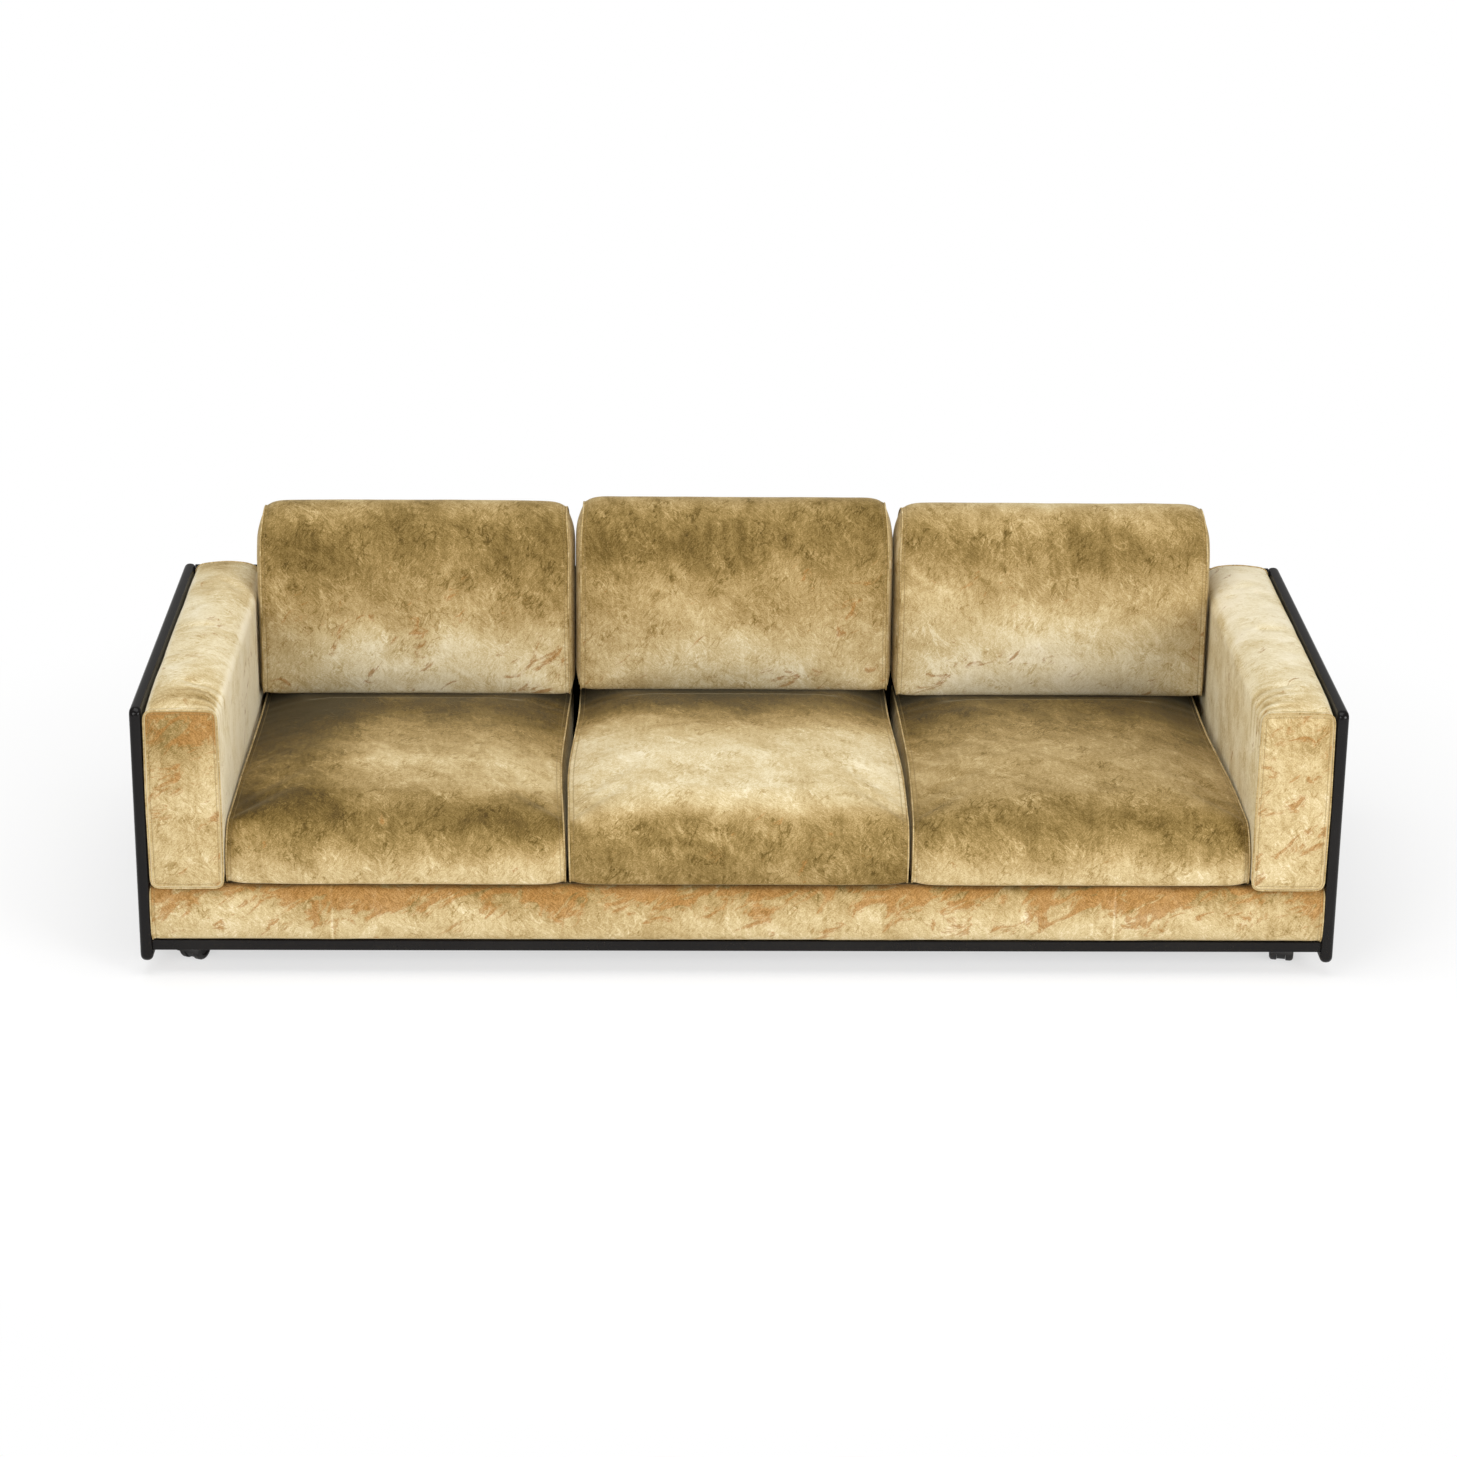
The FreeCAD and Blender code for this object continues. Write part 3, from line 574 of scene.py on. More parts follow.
def seat_cover(place):
    low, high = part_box("seat_cover_" + place)
    side_height = 0.114
    side_length = 0.13          # way up a side over its bulge
    rise = high.z - low.z

    def section(t):
        share = flat_share + (1 - flat_share) * crowned(t)

        def level(part):
            return low.z + side_height + (part * rise - side_height) * share

        nose = low.y + 0.008 * (1 - crowned(t))
        shoulder = level(0.90)
        return [
            (nose + 0.007, low.z, 0.010, True),
            (nose, (low.z + shoulder) / 2, 0.070, False),
            (nose + 0.042, shoulder, 0.060, True),
            (low.y + 0.290, level(1.0), 0.450, False),
            (back_foot(), level(0.905), 0.450, False),
            (high.y, level(0.845), 0.022, True),
            (high.y, low.z, 0.022, True),
        ]

    counts = counts_for(side_length, high.y - low.y)
    ends = (low.x + seat_hem, high.x - seat_hem)
    return sewn_cover(section, counts, ends, axis=0, dome=0.0065, ease=0.005, draw_in=0.003)


def back_cover(place):
    low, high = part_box("back_cover_" + place)
    bottom = low.z + back_tilt
    face = back_foot()
    over_top = 0.009            # the outline's upper corner above the rounded top
    end_drop = 0.010            # top at the end seams below the middle

    def section(t):
        top = high.z + over_top - end_drop * (1 - crowned(t, squareness=24))
        swell = 0.008 + 0.013 * crowned(t)
        return [
            (face, bottom, 0.009, True),
            (face - swell, bottom + 0.200, 0.420, False),
            (face + 0.026, top - 0.022, 0.062, True),
            (high.y - 0.062, top, 0.090, False),
            (high.y, top - 0.034, 0.052, True),
            (high.y, low.z, 0.020, True),
        ]

    counts = counts_for(high.z - low.z, high.y - face)
    ends = (low.x + back_hem, high.x - back_hem)
    return sewn_cover(section, counts, ends, axis=0, dome=0.013, ease=0.003, draw_in=0.002, drawn=1,
                      joins=back_pleats[place], taper=0.007)


def arm_cover(place):
    sign = sides[place]
    low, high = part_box("arm_cover_" + place)
    swell_to_seat = 0.002
    swell_to_panel = 0.003
    below_panel = 0.005         # top of the front cap below the top of the side panel
    inner, outer = sorted([abs(low.x), abs(high.x)])
    inner -= swell_to_seat
    outer += swell_to_panel
    cap_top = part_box("side_panel_" + place)[1].z - below_panel

    def section(t):
        fullness = crowned(t) if t < 0 else 1 - 0.1 * t
        top = cap_top + 0.012 * fullness
        crown = 0.010 * (flat_share + (1 - flat_share) * fullness)
        half_way = (low.z + top) / 2
        return [
            (sign * (inner + 0.001), low.z, 0.014, True),
            (sign * inner, half_way, 0.500, False),
            (sign * (inner + 0.002), top, 0.014 + 0.032 * fullness, True),
            (sign * (inner + outer) / 2, top + crown, 0.220, False),
            (sign * (outer - 0.002), top, 0.014 + 0.006 * fullness, True),
            (sign * outer, half_way, 0.500, False),
            (sign * (outer - 0.002), low.z, 0.014, True),
        ]

    counts = counts_for(high.z - low.z, outer - inner)
    return sewn_cover(section, counts, (low.y, high.y), axis=1, dome=0.003, ease=0.0005, joins=arm_folds)


def border_cover():
    low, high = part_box("front_border")

    def section(t):
        return [
            (low.y + 0.006, low.z, 0.014, True),
            (low.y, (low.z + high.z) / 2, 0.200, False),
            (low.y + 0.004, high.z, 0.017, True),
            (high.y, high.z, 0.002, True),
            (high.y, low.z, 0.002, True),
        ]

    counts = counts_for(high.z - low.z, high.y - low.y)
    return sewn_cover(section, counts, (low.x, high.x), axis=0, dome=0.0, ease=0.0, joins=border_joins)


# Shaping

most_swelling = {"seat": 0.012, "back": 0.012, "arm": 0.006, "border": 0.004}
spare_cloth = {"seat": 0.0015, "back": 0.0, "arm": 0.005, "border": 0.004}
unevenness = {"seat": 0.0010, "back": 0.0010, "arm": 0.0010, "border": 0.0006}


def ramp(values, start, end):
    """0 up to start, 1 from end on and straight between them. It falls where end is below start."""
    return np.clip((values - start) / (end - start), 0, 1)


def bell(values, middle, width):
    """1 in the middle, and next to nothing two widths away from it."""
    return np.exp(-((values - middle) / width) ** 2)


def waves(points, length):
    """Smooth heights between -1 and 1 that change from place to place over a length."""
    return np.array([noise.noise(Vector(p) / length) for p in points])


def piece_of(name, cover):
    mesh = bpy.data.meshes.new(name)
    mesh.from_pydata(cover.points.tolist(), [], [[int(n) for n in face] for face in cover.faces])
    piece = bpy.data.objects.new(name, mesh)
    bpy.context.scene.collection.objects.link(piece)
    bpy.context.view_layer.objects.active = piece
    face_outwards(mesh)
    return piece


def face_outwards(mesh):
    """Turns every face of a closed form to its outside."""
    form = bmesh.new()
    form.from_mesh(mesh)
    bmesh.ops.recalc_face_normals(form, faces=form.faces)
    form.to_mesh(mesh)
    form.free()


def normals_of(mesh):
    return np.array([v.normal for v in mesh.vertices])


def lay_points(piece, points):
    piece.data.vertices.foreach_set("co", points.astype(np.float32).ravel())
    piece.data.update()


def fill_with_air(piece, held, spare):
    """Lets air press a cover outwards. spare is the share by which its cloth is cut too large."""
    group = piece.vertex_groups.new(name="held")
    group.add([int(n) for n in np.flatnonzero(held)], 1.0, "REPLACE")
    cloth = piece.modifiers.new("puff", "CLOTH")
    cloth.settings.quality = 4
    cloth.settings.mass = 0.25
    cloth.settings.tension_stiffness = 14
    cloth.settings.compression_stiffness = 10
    cloth.settings.shear_stiffness = 6
    cloth.settings.bending_stiffness = 3.0
    cloth.settings.vertex_group_mass = "held"
    cloth.settings.use_pressure = True
    cloth.settings.uniform_pressure_force = 3.0
    cloth.settings.shrink_min = -spare
    cloth.settings.effector_weights.gravity = 0
    cloth.collision_settings.use_collision = False
    cloth.point_cache.frame_end = puff_frames


def puff_up(pieces):
    """Air presses the covers outwards while their end seams and the sides that they rest on are held."""
    for soft in pieces:
        fill_with_air(soft.piece, soft.held, spare_cloth[soft.sort])
    scene = bpy.context.scene
    for number in range(1, puff_frames + 1):
        scene.frame_set(number)
    graph = bpy.context.evaluated_depsgraph_get()
    for soft in pieces:
        puffed = np.array([v.co for v in soft.piece.evaluated_get(graph).data.vertices])
        moved = puffed - soft.cover.points
        length = np.linalg.norm(moved, axis=1)[:, None]
        limit = most_swelling[soft.sort] / np.maximum(length, 1e-9)
        soft.cover.points = soft.cover.points + moved * np.minimum(1, limit)
    for soft in pieces:
        soft.piece.modifiers.clear()
        soft.piece.vertex_groups.clear()
        lay_points(soft.piece, soft.cover.points)
    scene.frame_set(1)


def lean_of_the_seats(points):
    """The middle seat is plumper and pushes its neighbours aside at half depth."""
    meeting = 0.328             # where the seats meet, in x
    reach = 0.10
    left_push = 0.012
    right_push = 0.008
    arm_push = 0.009            # of the right arm against its seat
    x, y, z = points.T
    between = right_push * bell(x, meeting, reach) - left_push * bell(x, -meeting, reach)
    by_the_arm = arm_push * ramp(x, 0.80, 0.98) * ramp(y, -0.25, 0.10)
    moved = points.copy()
    moved[:, 0] += between * bell(y, -0.10, 0.26) * ramp(z, 0.20, 0.30) - by_the_arm
    return moved


def narrowed_to_the_rear(place, points):
    """A seat cushion is narrower between the back cushions than at its front."""
    narrower = 0.005            # on each side
    low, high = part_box("seat_cover_" + place)
    share = (points[:, 0] - (low.x + high.x) / 2) / (high.x - low.x) * 2
    moved = points.copy()
    moved[:, 0] -= narrower * share * ramp(points[:, 1], -0.15, 0.20)
    return moved


def ripples(points, seam, height, length):
    """Slow unevenness of a filled cover, in metres, fading out towards its seams."""
    return waves(points, length) * height * ramp(seam, 0, 0.05)


def furrows(along, places, width):
    """Soft furrows across a direction, 1 in each furrow and a little below 0 beside it."""
    away = np.abs(along[:, None] - np.array(places)[None])
    each = bell(away, 0, width) - 0.4 * bell(away, 2 * width, width)
    return each.sum(axis=1)


def back_creases(place, cover):
    """Short pleats that run down from the top roll of a back cushion."""
    x, y, z = cover.points.T
    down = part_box("back_cover_" + place)[1].z - z
    height = ramp(down, 0.14, 0.07) * ramp(down, 0.012, 0.042)
    on_the_front = (y < 0.30) & (cover.side >= 0)
    return furrows(x, back_pleats[place], pleat_width) * height * on_the_front


def arm_creases(place, cover):
    """Folds over the inner upper edge of an arm cushion, behind its front cap."""
    x, y, z = cover.points.T
    inner_edge = min(abs(corner.x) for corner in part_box("arm_cover_" + place))
    aside = np.abs(np.abs(x) - inner_edge)
    reach = ramp(aside, 0.10, 0) * ramp(z, 0.40, 0.52)
    return furrows(y, arm_folds, fold_width) * reach * (cover.end == 0)


def no_creases(place, cover):
    return np.zeros(len(cover.points))


def finish_cover(piece, cover, pressed, uneven):
    """Presses in the topstitching, creases and joins, and lets the cloth lie a little uneven."""
    normals = normals_of(piece.data)
    stitched = stitch_depth * bell(cover.seam, stitch_line, stitch_width)
    raised = seam_rise * bell(cover.seam, 0, seam_width)
    push = raised - stitched + ripples(cover.points, cover.seam, uneven, slow_wave)
    push += ripples(cover.points, cover.seam, uneven * 0.4, quick_wave) - pressed
    cover.points = cover.points + normals * push[:, None]
    lay_points(piece, cover.points)


def welt_along(path, normals):
    """A thin round welt along a closed seam: its points and faces."""
    along = np.roll(path, -1, axis=0) - np.roll(path, 1, axis=0)
    along /= np.linalg.norm(along, axis=1)[:, None]
    up = normals - along * np.einsum("ij,ij->i", normals, along)[:, None]
    up /= np.linalg.norm(up, axis=1)[:, None]
    across = np.cross(along, up)
    turns = np.linspace(0, 2 * math.pi, welt_sides + 1)[:-1]
    middle = path + up * welt_lift
    rings = [middle + welt_radius * (math.cos(a) * up + math.sin(a) * across) for a in turns]
    points = np.stack(rings, axis=1).reshape(-1, 3)
    numbers = np.arange(len(points)).reshape(len(path), len(turns))
    return points, quads(np.vstack([numbers, numbers[:1]]), True)


def with_welts(name, piece, cover, nap_and_painted_light, rust, bolt):
    """The finished piece: cover and welts in one mesh, smoothed, with what its cloth knows at each point.

    bolt is a number that sets this piece's cloth apart from that of the others."""
    welt_nap = 0.62
    normals = normals_of(piece.data)
    points = [cover.points]
    cloth = [np.column_stack([cover.cloth, bolt + cap_step * cover.end])]
    faces = [[int(n) for n in polygon.vertices] for polygon in piece.data.polygons]
    total = len(cover.points)
    for numbers in cover.welts:
        welt_points, welt_faces = welt_along(cover.points[numbers], normals[numbers])
        points.append(welt_points)
        along = np.repeat(cover.run[numbers], welt_sides)
        cloth.append(np.column_stack([along * 0, along, along * 0 + bolt]))
        faces += [[int(n) + total for n in face] for face in welt_faces]
        total += len(welt_points)
    extra = total - len(cover.points)
    mesh = bpy.data.meshes.new(name)
    mesh.from_pydata(np.vstack(points).tolist(), [], faces)
    laid = {
        "nap_and_painted_light": np.append(nap_and_painted_light, np.full(extra, welt_nap)),
        "rust": np.append(rust, np.zeros(extra)),
        "seam": np.append(cover.seam, np.ones(extra)),
        "run": np.append(cover.run, np.zeros(extra)),
    }
    for key, values in laid.items():
        mesh.attributes.new(key, "FLOAT", "POINT").data.foreach_set("value", values.astype(np.float32))
    places_on_cloth = np.vstack(cloth).astype(np.float32).ravel()
    mesh.attributes.new("cloth", "FLOAT_VECTOR", "POINT").data.foreach_set("vector", places_on_cloth)
    mesh.polygons.foreach_set("use_smooth", [True] * len(mesh.polygons))
    mesh.update()
    spare = piece.data
    piece.data = mesh
    bpy.data.meshes.remove(spare)
    smooth = piece.modifiers.new("smooth", "SUBSURF")
    smooth.levels = 1
    smooth.render_levels = 1


def foam_core(name, cover, normals, finish):
    """The foam in a cushion: its cover's form, well inside it."""
    core = Cover()
    core.points = cover.points - normals * foam_depth
    core.faces = cover.faces
    piece = piece_of(name, core)
    piece.data.polygons.foreach_set("use_smooth", [True] * len(piece.data.polygons))
    piece.data.materials.append(finish)
    return piece


# How the pile lies, with painted shade and painted light in places: 0 dark and standing, 1 pale and
# brushed flat, along the way from the lower front edge

# The seats darken towards their rear partly as painted shade under the back cushions.
seat_lie_and_painted_shade = {
    "left": ([0.0, 0.04, 0.07, 0.10, 0.13, 0.16, 0.20, 0.27, 0.36, 0.44, 0.53, 0.60, 0.68, 0.76],
             [0.76, 0.67, 0.47, 0.32, 0.19, 0.28, 0.42, 0.62, 0.73, 0.62, 0.43, 0.27, 0.05, -0.06]),
    "middle": ([0.0, 0.04, 0.09, 0.13, 0.17, 0.23, 0.38, 0.52, 0.62, 0.70, 0.77],
               [0.40, 0.36, 0.33, 0.42, 0.74, 0.86, 0.89, 0.88, 0.57, 0.18, -0.10]),
    "right": ([0.0, 0.04, 0.07, 0.10, 0.13, 0.17, 0.25, 0.36, 0.48, 0.62, 0.70, 0.78],
              [0.78, 0.68, 0.49, 0.34, 0.27, 0.34, 0.48, 0.55, 0.52, 0.33, 0.12, -0.04]),
}
back_lie = {
    "left": ([0.0, 0.06, 0.12, 0.19, 0.26, 0.30, 0.34, 0.37, 0.40, 0.46],
             [0.88, 0.90, 0.84, 0.54, 0.41, 0.32, 0.27, 0.32, 0.40, 0.52]),
    "middle": ([0.0, 0.05, 0.12, 0.18, 0.24, 0.29, 0.33, 0.37, 0.41, 0.46],
               [0.74, 0.80, 0.76, 0.60, 0.47, 0.34, 0.27, 0.31, 0.40, 0.52]),
    "right": ([0.0, 0.08, 0.16, 0.23, 0.28, 0.32, 0.36, 0.40, 0.46],
              [0.96, 0.96, 0.80, 0.60, 0.44, 0.34, 0.42, 0.54, 0.72]),
}


def astray(points, run):
    """The way round an outline, shifted from place to place, so that no change of tone runs straight."""
    return run + 0.020 * waves(points, slow_wave) + 0.010 * waves(points, quick_wave)


def share_across(node, cover):
    """Where a point is between the left and right ends of a cushion, from 0 to 1."""
    low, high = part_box(node)
    return (cover.points[:, 0] - low.x) / (high.x - low.x)


def seat_nap_and_painted_shade(place, cover):
    """Lie of the pile and rust of a seat: rubbed at its front roll, pale on top, dark at its rear partly
    as painted shade under the back cushion, and with painted shade beside an arm.
    """
    run = astray(cover.points, cover.run)
    across = share_across("seat_cover_" + place, cover)
    nap_and_painted_light = np.interp(run, *seat_lie_and_painted_shade[place])
    rear = ramp(run, 0.40, 0.55)
    if place == "left":
        # Painted shade beside the left arm, towards the rear.
        arm_painted_shade = ramp(across, 0.42, 0.22)
        nap_and_painted_light = nap_and_painted_light - 0.45 * arm_painted_shade * ramp(run, 0.12, 0.22)
    elif place == "middle":
        nap_and_painted_light = nap_and_painted_light - 0.22 * bell(across, 0.5, 0.22) * rear
    else:
        # Painted shade beside the right arm at the rear, and darker beside the middle seat.
        arm_painted_shade = ramp(across, 0.65, 0.95)
        beside_the_middle = ramp(across, 0.4, 0.1)
        nap_and_painted_light = nap_and_painted_light - (0.25 * arm_painted_shade + 0.12 * beside_the_middle) * rear
    nap_and_painted_light = np.where(cover.end != 0, 0.45, nap_and_painted_light)
    rust = np.interp(run, [0.0, 0.05, 0.13, 0.20], [0.40, 0.45, 0.30, 0.0])
    rust = rust + 0.25 * (place == "middle") * np.interp(run, [0.0, 0.12, 0.18], [1, 1, 0])
    return nap_and_painted_light, np.where(cover.end != 0, 0.3, rust)


def back_nap_and_painted_shade(place, cover):
    """Lie of the pile and rust of a back: paler low down and in the middle, with painted shade towards its
    sides low down, dark below its top.
    """
    run = astray(cover.points, cover.run)
    aside = abs(2 * share_across("back_cover_" + place, cover) - 1)
    nap_and_painted_light = np.interp(run, *back_lie[place])
    # Low down, paler in the middle and painted shade towards the sides.
    nap_and_painted_light = nap_and_painted_light + (0.08 - 0.34 * ramp(aside, 0.3, 1.3)) * ramp(run, 0.24, 0.12)
    nap_and_painted_light = np.where(cover.end != 0, 0.66, nap_and_painted_light)
    rust = np.interp(run, [0.0, 0.15, 0.28, 0.36], [1.05, 0.95, 0.60, 0.0])
    return nap_and_painted_light, np.where(cover.end != 0, 0.3, rust)


def arm_nap_and_painted_light(place, cover):
    """Lie of the pile and rust of an arm: brushed pale, with a rubbed front cap; the left arm's sides are
    painted lighter, as light falls on them from the right.
    """
    y = astray(cover.points, cover.points[:, 1])
    top = np.interp(y, [-0.44, -0.40, -0.33, -0.24, 0.15, 0.40], [0.72, 0.66, 0.76, 0.90, 0.90, 0.82])
    if place == "right":
        top = top + np.interp(y, [-0.2, 0.3], [0.10, 0.31])
    brushed = 0.16 * waves(cover.points, 0.07)
    # Painted light: the left arm's sides are paler because light falls on them from the right.
    nap_and_painted_light = np.where(cover.side == 1, top, 1.12 if place == "left" else 0.94) + brushed
    height = astray(cover.points, cover.points[:, 2])
    crushed = 1.0 if place == "left" else 0.0
    cap_nap = np.interp(height, [0.42, 0.50], [0.72, 0.64 - 0.20 * crushed])
    nap_and_painted_light = np.where(cover.end < 0, cap_nap, nap_and_painted_light)
    cap_rust = np.interp(height, [0.20, 0.40, 0.50], [1.35, 1.35, 1.25 + crushed])
    return nap_and_painted_light, np.where(cover.end < 0, cap_rust, 0.70)


def border_nap(place, cover):
    """Lie of the pile and rust of the border: rubbed along its upper edge, pressed beside its joins."""
    low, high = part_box("front_border")
    height = astray(cover.points, cover.points[:, 2] - low.z) / (high.z - low.z)
    nap_and_painted_light = np.interp(height, [0.0, 0.45, 0.75, 1.0], [0.71, 0.72, 0.58, 0.42])
    aside = np.min([abs(cover.points[:, 0] - join) for join in border_joins], axis=0)
    nap_and_painted_light = nap_and_painted_light + 0.20 * bell(aside, 0, 0.003) - 0.15 * bell(aside, 0.006, 0.003)
    return nap_and_painted_light, np.interp(height, [0.0, 0.35, 0.65, 1.0], [0.85, 1.30, 1.70, 2.60])


# Building the soft pieces

class SoftPiece:
    """A cover in the making. Its welts and the sides that it rests on are held while it is filled."""

    def __init__(self, sort, place, cover, also_held=False):
        self.sort = sort
        self.place = place
        self.name = sort + "_" + place if place else sort
        self.cover = cover
        self.held = (cover.side >= 2) | also_held
        for numbers in cover.welts:
            self.held[numbers] = True
        self.piece = piece_of(self.name, cover)


def soft_pieces():
    """Every cushion and the border before they are filled."""
    same_place = 0.001
    made = []
    for place in places:
        made.append(SoftPiece("seat", place, seat_cover(place)))
        made.append(SoftPiece("back", place, back_cover(place)))
    for place in sides:
        made.append(SoftPiece("arm", place, arm_cover(place)))
    cover = border_cover()
    on_join = np.min([abs(cover.points[:, 0] - join) for join in border_joins], axis=0) < same_place
    made.append(SoftPiece("border", "", cover, on_join | (cover.end != 0)))
    return made


def border_kept_clear(place, points):
    """Keeps the border flat except at its front."""
    front_room = 0.004
    low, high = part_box("front_border")
    return np.clip(points, (low.x, low.y - front_room, low.z), tuple(high))


def arm_kept_clear(place, points):
    """Presses an arm cushion flat against its panel and the deck."""
    panel_room = 0.0036
    seat_room = 0.0024
    front_room = 0.006
    low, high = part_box("arm_cover_" + place)
    left = low.x - (panel_room if place == "left" else seat_room)
    right = high.x + (panel_room if place == "right" else seat_room)
    return np.clip(points, (left, low.y - front_room, low.z), (right, high.y, math.inf))


def cushion_kept_clear(sort, place, points):
    """Keeps a seat or back cushion inside its width and in front of the back panel."""
    side_room = 0.0022
    arm_room = 0.0010
    low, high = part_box(sort + "_cover_" + place)
    left = low.x - (arm_room if place == "left" else side_room)
    right = high.x + (arm_room if place == "right" else side_room)
    return np.clip(points, (left, -math.inf, -math.inf), (right, high.y, math.inf))


def back_on_seat(place, points):
    """Height at which a back cushion lies on its seat cushion."""
    low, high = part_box("back_cover_" + place)
    slope = back_tilt / (high.y - back_foot())
    return low.z + back_tilt - slope * (points[:, 1] - back_foot())


def seat_kept_clear(place, points):
    """Lays a seat cushion on the deck and under its back cushion."""
    before_the_back = 0.03      # it is pressed down from this far in front of the back
    points = cushion_kept_clear("seat", place, points)
    points[:, 2] = np.maximum(points[:, 2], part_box("seat_cover_" + place)[0].z)
    under = points[:, 1] > back_foot() - before_the_back
    points[under, 2] = np.minimum(points[under, 2], back_on_seat(place, points)[under] - touch_gap)
    return points


def back_kept_clear(place, points):
    points = cushion_kept_clear("back", place, points)
    points[:, 2] = np.maximum(points[:, 2], back_on_seat(place, points))
    return points


creases_of = {"seat": no_creases, "back": back_creases, "arm": arm_creases, "border": no_creases}
# Painted shade in the creases, taken off the pile's lie.
crease_painted_shade = {"seat": 0.0, "back": 0.09, "arm": 0.20, "border": 0.0}
kept_clear = {
    "seat": seat_kept_clear, "back": back_kept_clear, "arm": arm_kept_clear, "border": border_kept_clear}
nap_and_painted_light_of = {"seat": seat_nap_and_painted_shade, "back": back_nap_and_painted_shade, "arm": arm_nap_and_painted_light, "border": border_nap}


def add_foam(soft, foam):
    core = foam_core(soft.sort + "_core_of_" + soft.place, soft.cover, normals_of(soft.piece.data), foam)
    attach(core, soft.name)
    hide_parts(soft.sort + "_core_" + soft.place)


def shape_soft_piece(soft):
    """Gives a filled cover its stitching, creases and place; returns the lie of its pile, with painted
    shade in its creases, and its rust.
    """
    cover = soft.cover
    creases = creases_of[soft.sort](soft.place, cover)
    finish_cover(soft.piece, cover, creases * crease_depth, unevenness[soft.sort])
    cover.points = kept_clear[soft.sort](soft.place, cover.points)
    nap_and_painted_light, rust = nap_and_painted_light_of[soft.sort](soft.place, cover)
    if soft.sort == "seat":
        cover.points = lean_of_the_seats(narrowed_to_the_rear(soft.place, cover.points))
    lay_points(soft.piece, cover.points)
    return nap_and_painted_light - crease_painted_shade[soft.sort] * creases, rust


def build_soft_pieces(velvet, foam):
    made = soft_pieces()
    puff_up(made)
    for number, soft in enumerate(made):
        nap_and_painted_light, rust = shape_soft_piece(soft)
        on_border = soft.sort == "border"
        if not on_border:
            add_foam(soft, foam)
        with_welts(soft.name, soft.piece, soft.cover, nap_and_painted_light, rust, bolt_step * number)
        soft.piece.data.materials.append(velvet)
        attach(soft.piece, "frame" if on_border else soft.name)
        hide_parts("front_border" if on_border else soft.sort + "_cover_" + soft.place)


# Dressing the pieces that keep their form

def dress(finish, *nodes):
    for name in nodes:
        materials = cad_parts[name].data.materials
        if len(materials) == 0:
            materials.append(finish)
        for i in range(len(materials)):
            materials[i] = finish


def dress_frame():
    dress(black_lacquer(), "side_panel_left", "side_panel_right", "back_panel", "plinth_rail")
    dress(sawn_timber(), "platform_front_rail", "platform_rear_rail", "platform_end_rail_left",
          "platform_end_rail_right", "platform_cross_rails", "castor_blocks")
    dress(woven_cloth("rubber_webbing", dye(52, 44, 38), dye(112, 92, 66), 0.006), "seat_webbing")
    dress(woven_cloth("deck_cloth", dye(96, 82, 52), dye(128, 108, 70), 0.0016), "deck_cloth")
    dress(woven_cloth("dust_cloth", dye(28, 28, 28), dye(50, 49, 48), 0.0012), "dust_cover")
    dress(zip_tape(), *[sort + "_zip_" + place for sort in ("seat", "back") for place in places])
    dress(plated_steel(), "panel_bolts", "corner_brackets", "bracket_screws", "plinth_screws",
          "castor_plates", "castor_screws", *["castor_axle_" + corner for corner in castor_corners])
    moulded = ("castor_hood_", "castor_wheel_left_", "castor_wheel_right_")
    dress(black_nylon(), *[part + corner for corner in castor_corners for part in moulded])


# Studio

def studio_floor():
    """Pale floor that keeps a soft shadow and fades to white away from the sofa."""
    floor = Finish("studio_floor", {"Roughness": 0.9, "Specular IOR Level": 0.0})
    cloud = floor.grain(floor.place(), 1.5, 2.0)
    floor.wear(colour=floor.mix(cloud, dye(250, 250, 250), dye(252, 252, 252)))
    away = floor.node("ShaderNodeVectorMath", {"operation": "LENGTH"}, {0: floor.place()}, "Value")
    seen = floor.node("ShaderNodeLightPath", {}, {}, "Is Camera Ray")
    glow = floor.node("ShaderNodeEmission", {}, {"Color": (1, 1, 1, 1), "Strength": 1.0})
    surface = Thread(floor, floor.surface.outputs[0])
    white_share = seen * (0.62 + away.rise(1.2, 2.2) * 0.38)
    both = floor.node("ShaderNodeMixShader", {}, {0: white_share, 1: surface, 2: glow})
    floor.tree.links.new(both.socket, floor.tree.nodes["Material Output"].inputs["Surface"])
    mesh = bpy.data.meshes.new("studio_floor")
    mesh.from_pydata([(-40, -20, 0), (40, -20, 0), (40, 60, 0), (-40, 60, 0)], [], [(0, 1, 2, 3)])
    mesh.materials.append(floor.material)
    ground = bpy.data.objects.new("studio_floor", mesh)
    bpy.context.scene.collection.objects.link(ground)


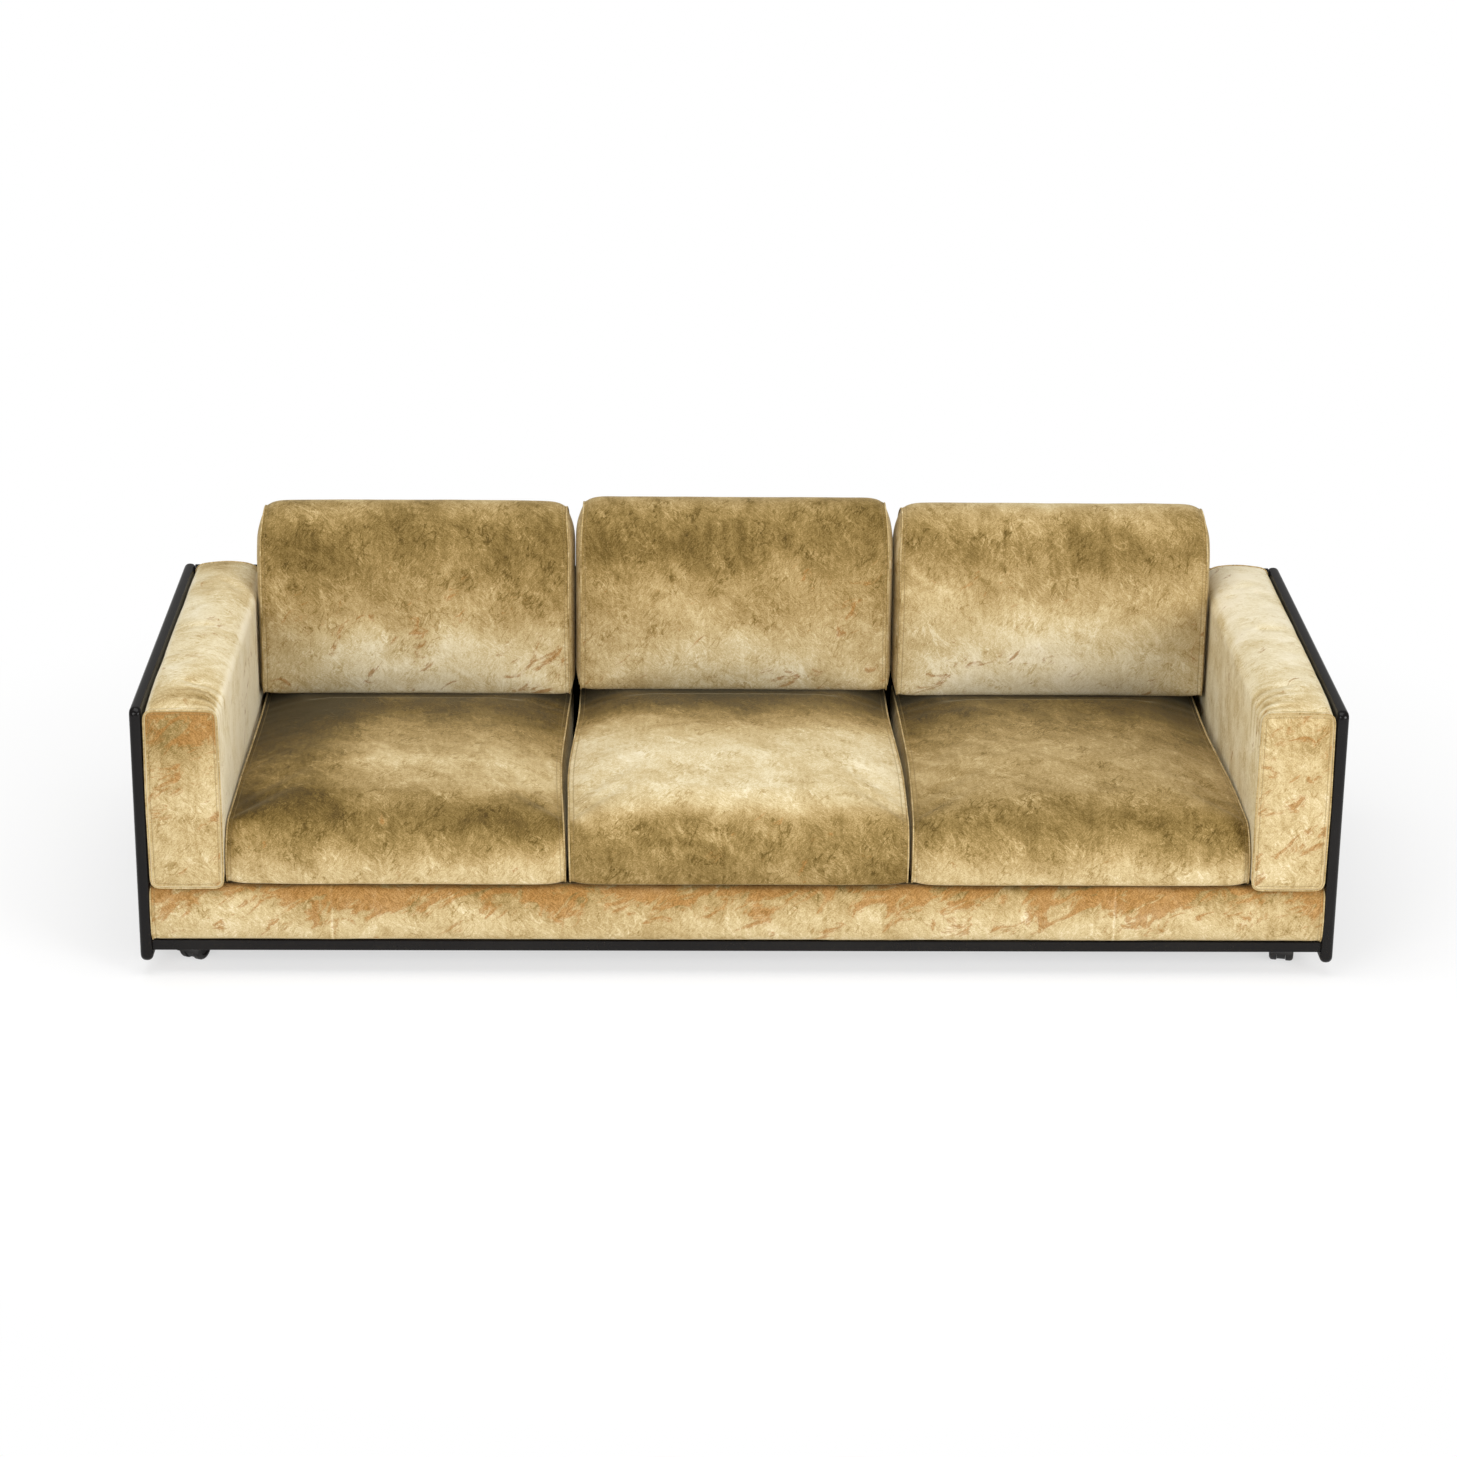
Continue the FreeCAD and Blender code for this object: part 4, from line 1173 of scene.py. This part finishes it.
def studio_walls():
    """White all round: plain white to the camera, softer as light."""
    world = bpy.data.worlds.new("studio_walls")
    bpy.context.scene.world = world
    world.use_nodes = True
    nodes = world.node_tree.nodes
    links = world.node_tree.links
    path = nodes.new("ShaderNodeLightPath")
    white = nodes.new("ShaderNodeBackground")
    white.inputs["Color"].default_value = (1, 1, 1, 1)
    soft = nodes["Background"]
    soft.inputs["Color"].default_value = (1.0, 0.99, 0.97, 1)
    soft.inputs["Strength"].default_value = 0.36
    both = nodes.new("ShaderNodeMixShader")
    links.new(path.outputs["Is Camera Ray"], both.inputs[0])
    links.new(soft.outputs[0], both.inputs[1])
    links.new(white.outputs[0], both.inputs[2])
    links.new(both.outputs[0], nodes["World Output"].inputs["Surface"])


def soft_box(name, place, aim, width, height, power):
    lamp = bpy.data.lights.new(name, "AREA")
    lamp.shape = "RECTANGLE"
    lamp.size = width
    lamp.size_y = height
    lamp.energy = power
    box = bpy.data.objects.new(name, lamp)
    box.location = place
    box.rotation_euler = (Vector(aim) - Vector(place)).to_track_quat("-Z", "Y").to_euler()
    bpy.context.scene.collection.objects.link(box)


def studio_lamps():
    middle = (0, 0, 0.35)
    soft_box("overhead", (-0.4, -0.8, 4.2), aim=(0, 0.1, 0.3), width=4.5, height=3.0, power=121)
    soft_box("front_left", (-3.2, -5.2, 2.4), aim=middle, width=2.8, height=2.4, power=140)
    soft_box("front_right", (4.1, -4.5, 2.2), aim=middle, width=2.6, height=2.2, power=206)


camera_place = (-0.1497, -7.1038, 2.9916)
camera_angles = (20.419, 1.09, -0.557)    # pitch, yaw and roll in degrees
camera_lens = 93.15                       # millimetres, on a sensor 36 mm wide


def photograph_camera():
    """The photograph's own viewpoint."""
    pitch, yaw, roll = [math.radians(angle) for angle in camera_angles]
    right = Vector((math.cos(yaw), -math.sin(yaw), 0))
    up = Vector((math.sin(yaw) * math.sin(pitch), math.cos(yaw) * math.sin(pitch), math.cos(pitch)))
    image_right = math.cos(roll) * right - math.sin(roll) * up
    image_up = math.sin(roll) * right + math.cos(roll) * up
    away = image_right.cross(image_up)
    turn = Matrix((image_right, image_up, away)).transposed()
    lens = bpy.data.cameras.new("camera")
    lens.sensor_width = 36
    lens.lens = camera_lens
    lens.clip_end = 200
    camera = bpy.data.objects.new("camera", lens)
    camera.matrix_world = Matrix.Translation(camera_place) @ turn.to_4x4()
    bpy.context.scene.collection.objects.link(camera)
    bpy.context.scene.camera = camera


dress_frame()
build_soft_pieces(gold_velvet(), cut_foam())
studio_floor()
studio_walls()
studio_lamps()
photograph_camera()
bpy.context.scene.view_settings.view_transform = "Standard"
